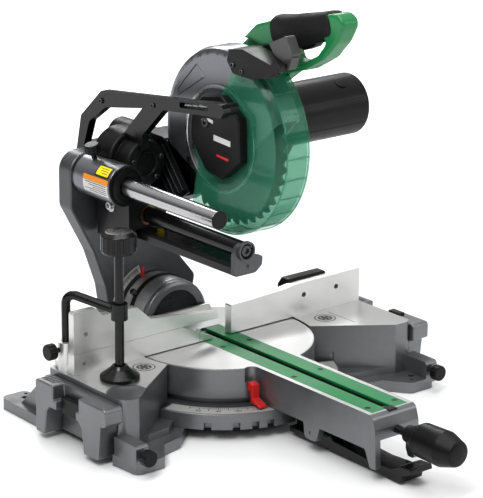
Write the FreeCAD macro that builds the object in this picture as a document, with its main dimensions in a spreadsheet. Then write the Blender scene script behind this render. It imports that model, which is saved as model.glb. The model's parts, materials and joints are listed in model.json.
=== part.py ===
import FreeCAD, Part
import math
import os
import Sketcher
from FreeCAD import Placement, Rotation, Vector

# Sliding compound miter saw, 216 mm blade class.
# Frame: origin on the bench under the turntable axis, +X along the fence to the right,
# +Y away from the operator, +Z up.  The saw kerf lies in the plane x = 0 and the fence
# faces lie in y = 0.  Millimetres.

DIMENSIONS = [
    ("table_height", 80.0, "bench to work surface"),
    ("turntable_radius", 117.0, "round part of the rotating table"),
    ("turntable_depth", 38.0, "height of the round table wall"),
    ("table_gap", 2.5, "gap between the turntable and the base tables"),
    ("arm_half_width", 34.0, "half width of the table arm"),
    ("arm_reach", 318.0, "turntable axis to the front of the arm"),
    ("kerf_half_width", 5.5, "half of the slot between the kerf plates"),
    ("kerf_plate_edge", 28.0, "outer edge of each kerf plate from the kerf"),
    ("kerf_plate_thickness", 3.0, "kerf plate thickness"),
    ("base_half_width", 231.0, "outer edge of each side table"),
    ("wing_depth", 72.0, "height of the side table castings"),
    ("foot_thickness", 14.0, "bench flange thickness"),
    ("bolt_hole_radius", 4.5, "bench bolt hole"),
    ("bolt_half_x", 215.0, "bench bolt hole from the centre line"),
    ("bolt_half_y", 120.0, "bench bolt hole from the fence plane"),
    ("pivot_radius", 10.0, "turntable pivot bolt"),
    ("running_fit", 0.05, "radial clearance of a running fit"),
    ("fence_thickness", 12.0, "lower fence thickness"),
    ("upper_fence_thickness", 10.0, "sliding fence thickness"),
    ("barrel_radius", 50.0, "bevel pivot barrel"),
    ("barrel_cap_radius", 49.0, "dished cap on the barrel"),
    ("bevel_disc_radius", 70.0, "foot disc of the tilting column"),
    ("bevel_shaft_radius", 12.0, "bevel pivot shaft"),
    ("column_front", 144.0, "front face of the tilting column"),
    ("column_thickness", 26.0, "column thickness"),
    ("upper_rail_x", -100.0, "upper slide pipe axis"),
    ("upper_rail_z", 279.0, "upper slide pipe axis"),
    ("upper_rail_radius", 11.2, "upper slide pipe"),
    ("lower_rail_x", -60.0, "lower slide pipe axis"),
    ("lower_rail_z", 234.0, "lower slide pipe axis"),
    ("lower_rail_radius", 10.0, "lower slide pipe"),
    ("rail_front", -119.0, "front end of the slide pipes"),
    ("sleeve_radius", 25.5, "linear bearing sleeve on the upper pipe"),
    ("sleeve_front", 62.0, "mouth of the bearing sleeve"),
    ("sleeve_length", 78.0, "length of the bearing sleeve"),
    ("hinge_y", 172.0, "head hinge axis"),
    ("hinge_z", 252.0, "head hinge axis"),
    ("hinge_shaft_radius", 9.0, "head hinge shaft"),
    ("blade_y", -16.0, "blade axis with the head raised"),
    ("blade_z", 341.0, "blade axis with the head raised"),
    ("blade_radius", 108.0, "saw blade"),
    ("blade_thickness", 2.2, "saw blade body"),
    ("arbor_radius", 15.0, "blade bore, half of 30 mm"),
    ("cover_radius", 113.0, "fixed blade cover"),
    ("guard_radius", 118.0, "swinging lower guard"),
    ("guard_hub_radius", 40.0, "boss that the lower guard turns on"),
    ("motor_y", 20.7, "motor axis"),
    ("motor_z", 342.8, "motor axis"),
    ("motor_radius", 39.4, "motor housing"),
    ("motor_end", 228.0, "right end of the motor housing"),
    ("handle_plane", 32.0, "middle plane of the handle"),
    ("vise_x", -187.0, "vise screw axis"),
    ("vise_y", -40.0, "vise screw axis"),
    ("post_x", -219.0, "vise post axis"),
    ("post_y", 24.0, "vise post axis"),
    ("post_radius", 5.5, "vise post and arm"),
]

doc = FreeCAD.newDocument("sliding_miter_saw")
sheet = doc.addObject("Spreadsheet::Sheet", "Dimensions")
for row, (alias, amount, note) in enumerate(DIMENSIONS, start=1):
    sheet.set(f"A{row}", alias)
    sheet.set(f"B{row}", str(amount))
    sheet.set(f"C{row}", note)
    sheet.setAlias(f"B{row}", alias)
doc.recompute()
SIZE = {alias: amount for alias, amount, note in DIMENSIONS}

TABLE = SIZE["table_height"]
X_AXIS, Y_AXIS, Z_AXIS = (1, 0, 0), (0, 1, 0), (0, 0, 1)
SKETCH_PLANE = {"x": "YZ_Plane", "y": "XZ_Plane", "z": "XY_Plane"}
nodes = []


# ---------------------------------------------------------------- building helpers

def amount_of(size):
    """Number behind a size: a plain number, an alias, or (alias, added amount)."""
    if isinstance(size, str):
        return SIZE[size]
    if isinstance(size, tuple):
        return SIZE[size[0]] + size[1]
    return float(size)


def bind(target, prop, size):
    """Set a property, through the spreadsheet when the size names an alias."""
    if isinstance(size, str):
        target.setExpression(prop, "Dimensions." + size)
    elif isinstance(size, tuple):
        target.setExpression(prop, f"Dimensions.{size[0]} + ({size[1]:g})")
    else:
        setattr(target, prop, float(size))


def draw_outline(sketch, points):
    """Closed outline of straight edges; a third number in a point rounds that corner."""
    corners = []
    for index, point in enumerate(points):
        here = Vector(point[0], point[1], 0)
        if len(point) == 2:
            corners.append((here, here, None))
            continue
        before = Vector(*points[index - 1][:2], 0) - here
        after = Vector(*points[(index + 1) % len(points)][:2], 0) - here
        before.normalize()
        after.normalize()
        half = before.getAngle(after) / 2
        reach = point[2] / math.tan(half)
        centre = here + (before + after).normalize() * (point[2] / math.sin(half))
        middle = centre + (here - centre).normalize() * point[2]
        corners.append((here + before * reach, here + after * reach, middle))
    for index, (start, end, middle) in enumerate(corners):
        if middle is not None:
            sketch.addGeometry(Part.Arc(start, middle, end), False)
        following = corners[(index + 1) % len(corners)][0]
        if end.distanceToPoint(following) > 1e-6:
            sketch.addGeometry(Part.LineSegment(end, following), False)


def new_sketch(body, name, axis, offset):
    """Empty sketch on the body's own origin plane across the given axis."""
    sketch = body.newObject("Sketcher::SketchObject", name)
    role = SKETCH_PLANE[axis]
    plane = next(item for item in body.Origin.OriginFeatures if item.Role == role)
    sketch.AttachmentSupport = [(plane, "")]
    sketch.MapMode = "FlatFace"
    sketch.AttachmentOffset = Placement(Vector(0, 0, offset), Rotation())
    return sketch


def plate(name, axis, low, depth, outline=None, holes=()):
    """Padded outline across an axis, from low to low + depth; holes are (u, v, radius)."""
    body = doc.addObject("PartDesign::Body", name)
    start, thickness = amount_of(low), amount_of(depth)
    offset = -(start + thickness) if axis == "y" else start
    sketch = new_sketch(body, name + "_sketch", axis, offset)
    if outline:
        draw_outline(sketch, outline)
    for u, v, radius in holes:
        circle = Part.Circle(Vector(u, v, 0), Vector(0, 0, 1), amount_of(radius))
        index = sketch.addGeometry(circle, False)
        constraint = sketch.addConstraint(Sketcher.Constraint("Radius", index, amount_of(radius)))
        if isinstance(radius, str):
            sketch.setExpression(f"Constraints[{constraint}]", "Dimensions." + radius)
    pad = body.newObject("PartDesign::Pad", name + "_pad")
    pad.Profile = sketch
    bind(pad, "Length", depth)
    return body


def turned(name, origin, direction, profile):
    """Body of revolution; the profile is (radius, distance along the direction)."""
    body = doc.addObject("PartDesign::Body", name)
    sketch = new_sketch(body, name + "_profile", "y", 0)
    draw_outline(sketch, profile)
    turn = body.newObject("PartDesign::Revolution", name + "_turn")
    turn.Profile = sketch
    turn.ReferenceAxis = (sketch, ["V_Axis"])
    turn.Angle = 360.0
    body.Placement = Placement(Vector(*origin), Rotation(Vector(0, 0, 1), Vector(*direction)))
    return body


def rod(name, radius, length, origin, direction=Z_AXIS):
    """Plain cylinder from origin along direction."""
    cylinder = doc.addObject("Part::Cylinder", name)
    bind(cylinder, "Radius", radius)
    bind(cylinder, "Height", length)
    turn = Rotation(Vector(0, 0, 1), Vector(*direction))
    cylinder.Placement = Placement(Vector(*origin), turn)
    return cylinder


def block(name, low, high):
    """Box between two corners."""
    box = doc.addObject("Part::Box", name)
    box.Length, box.Width, box.Height = (high[i] - low[i] for i in range(3))
    box.Placement = Placement(Vector(*low), Rotation())
    return box


def join(name, *pieces):
    """Union of pieces."""
    fusion = doc.addObject("Part::MultiFuse", name)
    fusion.Shapes = list(pieces)
    fusion.Refine = True
    return fusion


def cut(name, base, *tools):
    """Base with every tool taken away."""
    result = doc.addObject("Part::Cut", name)
    result.Base = base
    result.Tool = tools[0] if len(tools) == 1 else join(name + "_tools", *tools)
    result.Refine = True
    return result


def group(name, *pieces):
    """Separate solids that share one node."""
    compound = doc.addObject("Part::Compound", name)
    compound.Links = list(pieces)
    return compound


def rounded(name, base, radius, wanted):
    """Base with the chosen edges rounded; wanted(edge) picks them."""
    doc.recompute()
    fillet = doc.addObject("Part::Fillet", name)
    fillet.Base = base
    chosen = [i for i, edge in enumerate(base.Shape.Edges, start=1) if wanted(edge)]
    fillet.Edges = [(i, radius, radius) for i in chosen]
    return fillet


def node(label, piece):
    """Keep a finished piece under its own label."""
    piece.Label = label
    nodes.append(piece)
    return piece


def mirrored(points, side):
    """Outline mirrored to the left for side -1."""
    return [(point[0] * side, *point[1:]) for point in points]


# ---------------------------------------------------------------- base

RECESS_RADIUS = SIZE["turntable_radius"] + SIZE["table_gap"]
BASE_RING_RADIUS = 127.0
BASE_FLOOR = 8.0
RING_TOP = 34.0
WALL = 6.0


def side_table(side):
    """One side table: a hollow wing with its two bench flanges and a rear gusset."""
    tag = "right" if side > 0 else "left"
    edge = SIZE["base_half_width"]
    wing = plate(f"wing_{tag}", "z", BASE_FLOOR, "wing_depth", mirrored(
        [(100, 38), (100, -30), (113, -37), (204, -101, 5), (edge, -101, 9), (edge, 46, 6),
         (136, 46), (126, 38)], side))
    hollow = plate(f"wing_hollow_{tag}", "z", BASE_FLOOR - 1, 66, mirrored(
        [(132, 32), (132, -41), (206, -94), (edge - WALL, -94), (edge - WALL, 40), (142, 40)], side))
    front_foot = plate(f"front_foot_{tag}", "z", 0, "foot_thickness", mirrored(
        [(112, -40), (101, -64, 4), (146, -104, 6), (174, -110, 6), (197, -141, 6),
         (237, -141, 10), (240, -96), (206, -96)], side))
    foot_rib = plate(f"foot_rib_{tag}", "z", 10, 13, mirrored(
        [(118, -38), (109, -52, 3), (150, -88, 4), (184, -92, 4), (212, -101), (190, -80)], side))
    rear_foot = plate(f"rear_foot_{tag}", "z", 0, "foot_thickness", mirrored(
        [(edge, 38), (240, 60), (238, 141, 10), (200, 141, 8), (203, 38)], side))
    low_x = 207 if side > 0 else -edge + 2
    gusset = plate(f"gusset_{tag}", "x", low_x, 22, [(40, 10), (112, 10), (54, 66, 8), (40, 70)])
    shell = cut(f"wing_shell_{tag}", wing, hollow)
    return [shell, front_foot, foot_rib, rear_foot, gusset]


DETENT_ANGLES = (-45, -31.6, -22.5, -15, 0, 15, 22.5, 31.6, 45)
DETENT_OUTER = 150.0
SCALE_SPAN = 66.0


def ring_sector(name, inner, outer, low, depth, half_angle):
    """Flat ring sector centred on straight ahead."""
    body = doc.addObject("PartDesign::Body", name)
    sketch = new_sketch(body, name + "_sketch", "z", low)
    start, end = math.radians(-90 - half_angle), math.radians(-90 + half_angle)
    for radius in (inner, outer):
        circle = Part.Circle(Vector(0, 0, 0), Vector(0, 0, 1), radius)
        sketch.addGeometry(Part.ArcOfCircle(circle, start, end), False)
    for turn in (start, end):
        heading = Vector(math.cos(turn), math.sin(turn), 0)
        sketch.addGeometry(Part.LineSegment(heading * inner, heading * outer), False)
    pad = body.newObject("PartDesign::Pad", name + "_pad")
    pad.Profile = sketch
    bind(pad, "Length", depth)
    return body


ring_body = rod("ring_body", BASE_RING_RADIUS, RING_TOP - BASE_FLOOR, (0, 0, BASE_FLOOR))
ring_hollow = rod("ring_hollow", 118, 18, (0, 0, BASE_FLOOR - 1))
ring_shell = cut("ring_shell", ring_body, ring_hollow)
pivot_hub = rod("pivot_hub", 24, 22, (0, 0, 12))
spokes = [block(f"spoke_{i}", (-3, -120, 12), (3, 120, 30)) for i in range(3)]
for index, spoke in enumerate(spokes):
    spoke.Placement = Placement(Vector(0, 0, 0), Rotation(Vector(0, 0, 1), 60 * index)).multiply(
        spoke.Placement)

table_recess = rod("table_recess", RECESS_RADIUS, 60, (0, 0, RING_TOP))
pivot_bore = rod("base_pivot_bore", ("pivot_radius", SIZE["running_fit"]), 60, (0, 0, 0))
bench_holes = [
    rod(f"bench_hole_{i}", "bolt_hole_radius", 30, (x * SIZE["bolt_half_x"], y * SIZE["bolt_half_y"], -5))
    for i, (x, y) in enumerate([(-1, -1), (1, -1), (-1, 1), (1, 1)])]
small_holes = [
    rod(f"nail_hole_{i}", 2.4, 30, (x * 206, y * 131, -5))
    for i, (x, y) in enumerate([(-1, -1), (1, -1), (-1, 1), (1, 1)])]
knob_bosses = [
    plate(f"knob_boss_{i}", "x", low, 18, [(-141, 8), (-141, 36, 5), (-98, 36), (-98, 8)])
    for i, low in enumerate((-239, 221))]
base_solid = join("base_solid", ring_shell, pivot_hub, *spokes, *knob_bosses,
                  *side_table(-1), *side_table(1))
dish = doc.addObject("Part::Sphere", "corner_dish")
dish.Radius = 66
dish.Placement = Placement(Vector(-208, -84, TABLE + 60.5), Rotation())
swing_room = cut("barrel_swing_room", rod("swing_outer", 134, 40, (0, 0, 29.4)),
                 rod("swing_inner", 88, 50, (0, 0, 25)),
                 block("swing_front", (-140, -140, 20), (140, 20, 80)))
detent_room = ring_sector("detent_room", BASE_RING_RADIUS, DETENT_OUTER + 0.3, 14, 30, 69)
node("base_casting", cut("base_cut", base_solid, table_recess, pivot_bore, dish, swing_room, detent_room,
                         *bench_holes, *small_holes))


def carry_grip(side):
    """Carrying handle bolted to the end of a side table, open underneath for the hand."""
    tag = "right" if side > 0 else "left"
    low_x = SIZE["base_half_width"] if side > 0 else -SIZE["base_half_width"] - 26
    grip = plate(f"grip_{tag}", "x", low_x, 26, [
        (36, 74, 4), (-105, 74, 5), (-105, 53, 4), (-95, 50), (-90, 7, 3), (-62, 7, 3), (-57, 38),
        (-50, 45, 4), (8, 45, 4), (14, 38), (19, 7, 3), (36, 7, 3)])
    outer = side * (SIZE["base_half_width"] + 26)
    corners = sorted((outer + side, outer - side * 17))
    pocket = block(f"grip_pocket_{tag}", (corners[0], -52, 56), (corners[1], 0, 80))
    ledge = block(f"grip_ledge_{tag}", (corners[0], -46, 40), (corners[1], -6, 60))
    node(f"carry_grip_{tag}", cut(f"grip_cut_{tag}", grip, pocket, ledge))


carry_grip(-1)
carry_grip(1)

detent_ring = ring_sector("detent_ring", BASE_RING_RADIUS, DETENT_OUTER, 14, RING_TOP - 14, 68)
notches = []
for index, angle in enumerate(DETENT_ANGLES):
    notch = block(f"detent_notch_{index}", (-4.5, -DETENT_OUTER - 2, 12), (4.5, -138, 23))
    notch.Placement = Placement(Vector(0, 0, 0), Rotation(Vector(0, 0, 1), angle)).multiply(
        notch.Placement)
    notches.append(notch)
node("detent_plate", cut("detent_cut", detent_ring, *notches))
node("mitre_scale", ring_sector("mitre_scale", 128.5, 147.5, RING_TOP, 0.8, SCALE_SPAN))

# ---------------------------------------------------------------- fences

CLEAR_OF_TURNTABLE = TABLE + 1.0
POST_X, POST_Y = SIZE["post_x"], SIZE["post_y"]

left_face = plate("left_fence_face", "y", 0, "fence_thickness", [
    (-225, TABLE), (-120, TABLE), (-120, CLEAR_OF_TURNTABLE), (-13, CLEAR_OF_TURNTABLE), (-13, 83),
    (-61, 105.6), (-225, 105.6)], holes=[(-210, 92, 2.6)])
left_flange = plate("left_fence_flange", "z", TABLE, 9, [
    (-225, 10), (-128, 10), (-128, 38, 8), (-207, 44, 6), (-225, 44, 6)])
post_boss = rod("post_boss", 10.5, 36, (POST_X, POST_Y, TABLE))
post_bore = rod("post_bore", ("post_radius", SIZE["running_fit"]), 80, (POST_X, POST_Y, TABLE + 2))
node("fence_left", cut("left_fence_cut", join("left_fence_solid", left_face, left_flange, post_boss),
                       post_bore))

node("fence_left_upper", plate("left_upper_face", "y", 0, "upper_fence_thickness", [
    (-225, 105.9), (-5, 105.9), (-5, 114.5, 2), (-110, 127.6, 6), (-131, 146.6, 6),
    (-176, 147.2, 4), (-183, 147.6, 2), (-192, 158, 2), (-225, 158, 3)], holes=[(-207, 128, 3.2)]))

right_face = plate("right_fence_face", "y", 0, "fence_thickness", [
    (16, CLEAR_OF_TURNTABLE), (120, CLEAR_OF_TURNTABLE), (120, TABLE), (231, TABLE), (231, 125, 2),
    (120, 124, 6), (98, 121, 6), (16, 118, 2)], holes=[(136, 107.5, 3.2), (191, 107.5, 3.2)])
right_flange = plate("right_fence_flange", "z", TABLE, 9, [
    (128, 10), (226, 10), (226, 40, 6), (128, 34, 6)])
node("fence_right", join("right_fence_solid", right_face, right_flange))
node("fence_rear_cover", plate("rear_cover", "y", 12, 15, [
    (114, 104), (180, 104, 3), (184, 128, 4), (121, 128, 5), (114, 120, 3)]))


def thumb_knob(label, origin, direction, stem):
    """Ribbed thumb screw: stem at the origin, head beyond it."""
    head = turned(label + "_head", origin, direction, [
        (0, stem), (6, stem), (10, stem + 3, 1), (10, stem + 13, 2), (0, stem + 13)])
    flutes = []
    for index in range(10):
        turn = math.radians(36 * index)
        flute = rod(f"{label}_flute_{index}", 1.6, 16, origin, direction)
        offset = Vector(11 * math.cos(turn), 11 * math.sin(turn), stem - 1)
        flute.Placement = Placement(
            Vector(*origin) + flute.Placement.Rotation.multVec(offset), flute.Placement.Rotation)
        flutes.append(flute)
    shank = rod(label + "_shank", 3.0, stem + 1, origin, direction)
    node(label, join(label + "_solid", cut(label + "_cut", head, *flutes), shank))


thumb_knob("support_knob_left", (-230, -141.3, 24), (0, -1, 0), 4)
thumb_knob("support_knob_right", (230, -141.3, 24), (0, -1, 0), 4)
thumb_knob("vise_clamp_knob", (POST_X - 10.8, POST_Y, 107), (-1, 0, 0), 5)

# ---------------------------------------------------------------- turntable

HALF_ARM = SIZE["arm_half_width"]
REACH = SIZE["arm_reach"]
TABLE_UNDERSIDE = TABLE - SIZE["turntable_depth"]
SLIDE_FACE = RING_TOP + 0.3
ARM_BOTTOM = 36.0
PLATE_SEAT = TABLE - SIZE["kerf_plate_thickness"]
BARREL_FRONT, BARREL_REAR = 99.0, 141.0

round_table = turned("round_table", (0, 0, 0), Z_AXIS, [
    (0, SLIDE_FACE), (28, SLIDE_FACE), (28, 70), (98, 70), (98, SLIDE_FACE), (110, SLIDE_FACE),
    (110, TABLE_UNDERSIDE), (SIZE["turntable_radius"], TABLE_UNDERSIDE),
    (SIZE["turntable_radius"], TABLE, 1.5), (0, TABLE)])
arm = block("arm_block", (-HALF_ARM, -REACH + 6, ARM_BOTTOM), (HALF_ARM, -40, TABLE))
nose = plate("arm_nose", "x", -HALF_ARM, 2 * HALF_ARM, [
    (-300, TABLE), (-REACH, TABLE, 9), (-REACH - 6, 62, 10), (-REACH - 8, 15, 2), (-REACH + 2, 15, 2),
    (-REACH + 12, 38, 6), (-300, ARM_BOTTOM)])
arm_channel = block("arm_channel", (-HALF_ARM + 6, -REACH + 6, 0), (HALF_ARM - 6, -30, 64))
nose_channel = block("nose_channel", (-HALF_ARM + 8, -REACH - 20, 0), (HALF_ARM - 8, -REACH + 8, 50))
lever_lugs = [
    plate(f"lever_lug_{i}", "x", low, 9, [(-196, 40), (-228, 40), (-220, 16, 6), (-200, 16, 6)],
          holes=[(-210, 25, 2.5)])
    for i, low in enumerate((-33, 24))]
barrel = rod("barrel", "barrel_radius", BARREL_REAR - BARREL_FRONT, (0, BARREL_FRONT, TABLE), Y_AXIS)
bridge = block("barrel_bridge", (-48, 60, 42), (48, BARREL_REAR, 76))
saddle = plate("barrel_saddle", "x", -48, 96, [
    (70, 60), (BARREL_REAR - 8, 60), (BARREL_REAR - 8, 92, 8), (84, 92, 4), (74, 80)])
cap_room = rod("cap_room", ("barrel_cap_radius", 0.4), BARREL_FRONT - 88, (0, 88, TABLE), Y_AXIS)
lever_pin = rod("lever_pin", 3.0, 64, (-32, -210, 25), X_AXIS)
kerf_recess = block("kerf_recess", (-28, -REACH + 7, PLATE_SEAT), (28, 40, TABLE + 30))
kerf_slot = block("kerf_slot", (-9, -REACH + 20, 58), (9, 34, TABLE))
shaft_hole = rod("barrel_hole", "bevel_shaft_radius", 80, (0, 90, TABLE), Y_AXIS)
table_bore = rod("table_pivot_bore", "pivot_radius", 40, (0, 0, 20))
rod_bore = rod("arm_rod_bore", 5.05, 60, (0, -REACH - 30, 58), Y_AXIS)
pointer_seat = rod("pointer_seat", 9, 40, (-HALF_ARM - 9, -113, 62))
turntable_solid = join("turntable_solid", round_table, cut("arm_shell", join(
    "arm_solid", arm, nose), arm_channel, nose_channel), bridge, saddle, barrel, lever_pin, *lever_lugs)
node("turntable", cut("turntable_cut", turntable_solid, kerf_recess, kerf_slot, shaft_hole,
                      table_bore, rod_bore, pointer_seat, cap_room))

KERF_SCREWS_Y = (-296, -165, -30)
KERF_SCREW_X = 21.0
for side, tag in ((-1, "left"), (1, "right")):
    edges = sorted((side * SIZE["kerf_half_width"], side * SIZE["kerf_plate_edge"]))
    node(f"kerf_plate_{tag}", plate(f"kerf_{tag}", "z", PLATE_SEAT, "kerf_plate_thickness", [
        (edges[0], -REACH + 7.2), (edges[1], -REACH + 7.2), (edges[1], 39.5), (edges[0], 39.5)],
        holes=[(side * KERF_SCREW_X, y, 3.6) for y in KERF_SCREWS_Y]))
node("kerf_screws", group("kerf_screw_set", *[
    rod(f"kerf_screw_{i}_{side}", 3.5, 2.6, (side * KERF_SCREW_X, y, PLATE_SEAT))
    for i, y in enumerate(KERF_SCREWS_Y) for side in (-1, 1)]))

node("mitre_pointer", plate("pointer", "x", -HALF_ARM - 15, 11, [
    (-112.5, 64), (-121.5, 62), (-121.5, 45), (-136, 38.5), (-136, 36.5), (-117.5, 40), (-117.5, 52),
    (-112.5, 54)]))
node("pivot_bolt", join("pivot_bolt_solid",
                        rod("pivot_shank", "pivot_radius", 48, (0, 0, 11)),
                        rod("pivot_head", 17, 7, (0, 0, 4.2))))
node("bevel_cap", turned("barrel_cap", (0, BARREL_FRONT, TABLE), (0, -1, 0), [
    (0, 0), (SIZE["barrel_cap_radius"], 0), (SIZE["barrel_cap_radius"], 7, 2), (44, 9, 2), (29, 5),
    (12, 1.5), (0, 1.5)]))
node("bevel_shaft", join("bevel_shaft_solid",
                         rod("bevel_shaft_rod", "bevel_shaft_radius", 84, (0, 101, TABLE), Y_AXIS),
                         rod("bevel_shaft_nut", 19, 8, (0, 172, TABLE), Y_AXIS)))

node("mitre_lock_rod", rod("lock_rod", 5, 202, (0, -REACH - 24, 58), Y_AXIS))
node("mitre_lock_knob", turned("lock_knob", (0, -REACH - 24, 58), (0, -1, 0), [
    (0, 0), (10, 0, 2), (11.5, 10), (20.5, 26, 4), (21.5, 62, 4), (15, 84, 4), (0, 87)]))
node("detent_lever", join(
    "detent_lever_solid",
    plate("lever_bar", "x", -17, 34, [
        (-153, 6), (-153, 12.5), (-190, 12.5), (-198, 31, 4), (-222, 31, 4), (-232, 18), (-300, 14),
        (-334, 16, 4), (-348, 23, 4), (-366, 24, 3), (-367, 18), (-352, 12, 4), (-350, 2.5, 2),
        (-336, 3, 4), (-300, 5, 6), (-240, 5, 6), (-200, 6)], holes=[(-210, 25, 3.1)]),
    block("lever_tooth", (-4, -160, 10), (4, -151.5, 21))))

# ---------------------------------------------------------------- tilting column and slide rails

COLUMN_Y = SIZE["column_front"]
UPPER_X, UPPER_Z = SIZE["upper_rail_x"], SIZE["upper_rail_z"]
LOWER_X, LOWER_Z = SIZE["lower_rail_x"], SIZE["lower_rail_z"]
RAIL_FRONT = SIZE["rail_front"]

column_web = plate("column_web", "y", "column_front", "column_thickness", [
    (-125, 304, 24), (-125, 236, 16), (-90, 172, 20), (-72, 122, 14), (-62, 60), (62, 60),
    (72, 112, 10), (34, 158, 16), (-38, 206, 12), (-40, 254, 8), (-56, 281, 6), (-77.5, 281, 3),
    (-77.5, 304, 6)])
column_disc = rod("column_disc", "bevel_disc_radius", "column_thickness", (0, COLUMN_Y, TABLE), Y_AXIS)
column_pocket = plate("column_pocket", "y", COLUMN_Y + 8, 30, [
    (-100, 236, 10), (-76, 176, 10), (-48, 122, 10), (40, 122, 10), (12, 152, 10), (-60, 200, 10),
    (-72, 222, 8)])
rail_seats = [
    rod("upper_seat", "upper_rail_radius", 40, (UPPER_X, COLUMN_Y - 2, UPPER_Z), Y_AXIS),
    rod("lower_seat", "lower_rail_radius", 40, (LOWER_X, COLUMN_Y - 2, LOWER_Z), Y_AXIS)]
column_bore = rod("column_bore", ("bevel_shaft_radius", SIZE["running_fit"]), 60,
                  (0, COLUMN_Y - 5, TABLE), Y_AXIS)
node("column", cut("column_cut", join("column_solid", column_web, column_disc), column_pocket,
                   *rail_seats, column_bore))

RAIL_REAR = COLUMN_Y + 24
for name, x, z, radius in (("upper_slide_pipe", UPPER_X, UPPER_Z, "upper_rail_radius"),
                           ("lower_slide_pipe", LOWER_X, LOWER_Z, "lower_rail_radius")):
    outer = rod(name + "_outer", radius, RAIL_REAR - RAIL_FRONT, (x, RAIL_FRONT, z), Y_AXIS)
    inner = rod(name + "_inner", (radius, -2.6), RAIL_REAR - RAIL_FRONT + 4, (x, RAIL_FRONT - 2, z),
                Y_AXIS)
    node(name, cut(name + "_tube", outer, inner))
node("pipe_cap", turned("rail_cap", (UPPER_X, RAIL_FRONT, UPPER_Z), (0, -1, 0), [
    (0, -10), (8.5, -10), (8.5, 0), (SIZE["upper_rail_radius"], 0),
    (SIZE["upper_rail_radius"], 2.2, 1), (0, 2.2)]))
BEAM_TOP = LOWER_Z - SIZE["lower_rail_radius"] - 7.0
node("rail_beam", plate("beam", "y", -112, COLUMN_Y + 112, [
    (-75, BEAM_TOP - 12), (-70, BEAM_TOP - 15), (-46, BEAM_TOP - 15), (-42, BEAM_TOP - 11),
    (-42, BEAM_TOP - 4), (-47, BEAM_TOP), (-73, BEAM_TOP), (-75, BEAM_TOP - 3)]))
bracket_plate = plate("bracket_plate", "y", -119, 7, [
    (-76, 204, 3), (-44, 204, 10), (-34, 212, 6), (-33, 223, 4), (-48, 227), (-48, 234), (-59, 246, 11),
    (-72, 240, 6), (-76, 230)])
bracket_ring = rod("bracket_ring", 12, 4, (LOWER_X, -123, LOWER_Z), Y_AXIS)
bracket_bore = rod("bracket_bore", "lower_rail_radius", 20, (LOWER_X, -125, LOWER_Z), Y_AXIS)
node("rail_bracket", cut("bracket_cut", join("bracket_solid", bracket_plate, bracket_ring),
                         bracket_bore))
bevel_lever_hub = rod("bevel_lever_hub", 16, 10, (0, 181, TABLE), Y_AXIS)
bevel_lever_bar = plate("bevel_lever_bar", "y", 182, 8, [
    (-7, TABLE), (-9, 150, 6), (-14, 168, 8), (14, 168, 8), (9, 150, 6), (7, TABLE)])
node("bevel_lever", cut("bevel_lever_cut", join("bevel_lever_solid", bevel_lever_hub, bevel_lever_bar),
                        rod("bevel_lever_bore", ("bevel_shaft_radius", 0.05), 20, (0, 178, TABLE), Y_AXIS)))

# ---------------------------------------------------------------- sliding carriage

SLEEVE_FRONT = SIZE["sleeve_front"]
SLEEVE_REAR = SLEEVE_FRONT + SIZE["sleeve_length"]
HINGE_Y, HINGE_Z = SIZE["hinge_y"], SIZE["hinge_z"]
LUG_LEFT, LUG_RIGHT = -34.0, 66.0

sleeve = rod("sleeve", "sleeve_radius", "sleeve_length", (UPPER_X, SLEEVE_FRONT, UPPER_Z), Y_AXIS)
shoe = block("rail_shoe", (-84, SLEEVE_FRONT + 6, BEAM_TOP + 1.2), (-34, SLEEVE_REAR - 4, 258))
cheek = block("shoe_cheek", (-90, SLEEVE_FRONT + 8, 200), (-79, SLEEVE_REAR - 4, 262))
cross_web = plate("cross_web", "y", 112, 22, [
    (-112, 262), (-84, 236), (-34, 236), (-23, 244), (-23, 300, 6), (-60, 318, 8), (-84, 304)])
left_lug = plate("hinge_lug_left", "x", LUG_LEFT, 11, [
    (112, 240, 4), (SLEEVE_REAR, 232), (HINGE_Y + 20, 230, 14), (HINGE_Y + 34, 240, 8),
    (HINGE_Y + 34, 300), (HINGE_Y + 14, 300), (HINGE_Y + 12, 282, 6), (SLEEVE_REAR, 292, 8),
    (112, 300, 6)])
right_lug = plate("hinge_lug_right", "x", LUG_RIGHT, 11, [
    (HINGE_Y - 20, 234, 12), (HINGE_Y + 34, 234, 8), (HINGE_Y + 34, 268, 8), (HINGE_Y - 20, 272, 14)])
frame_seat = block("frame_seat", (-61, HINGE_Y + 16, 288), (LUG_LEFT + 11, HINGE_Y + 34, 300))
rear_web = block("rear_web", (LUG_LEFT + 2, HINGE_Y + 24, 236), (LUG_RIGHT + 9, HINGE_Y + 34, 266))
sleeve_bore = rod("sleeve_bore", ("upper_rail_radius", 4.0), 120, (UPPER_X, 40, UPPER_Z), Y_AXIS)
shoe_bore = rod("shoe_bore", ("lower_rail_radius", 3.0), 120, (LOWER_X, 40, LOWER_Z), Y_AXIS)
hinge_bore = rod("carriage_hinge_bore", "hinge_shaft_radius", 140, (-50, HINGE_Y, HINGE_Z), X_AXIS)
DRUM_X, DRUM_Z = -60.0, 298.0
drum_room = join("drum_room", rod("drum_room_rear", 38.3, 41, (DRUM_X, 98.7, DRUM_Z), Y_AXIS),
                 rod("drum_room_front", 30.3, 60, (DRUM_X, 50, DRUM_Z), Y_AXIS))
carriage_frame = cut("carriage_frame", join("carriage_frame_solid", cross_web, left_lug), drum_room)
node("carriage", cut("carriage_cut", join("carriage_solid", carriage_frame, sleeve, shoe, cheek, right_lug,
                                          rear_web, frame_seat), sleeve_bore, shoe_bore, hinge_bore))


def bush(name, x, z, radius, wall, front, length):
    """Plain slide bush between a pipe and its housing."""
    outer = rod(name + "_outer", (radius, wall), length, (x, front, z), Y_AXIS)
    bore = rod(name + "_bore", (radius, SIZE["running_fit"]), length + 4, (x, front - 2, z), Y_AXIS)
    return cut(name, outer, bore)


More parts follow.
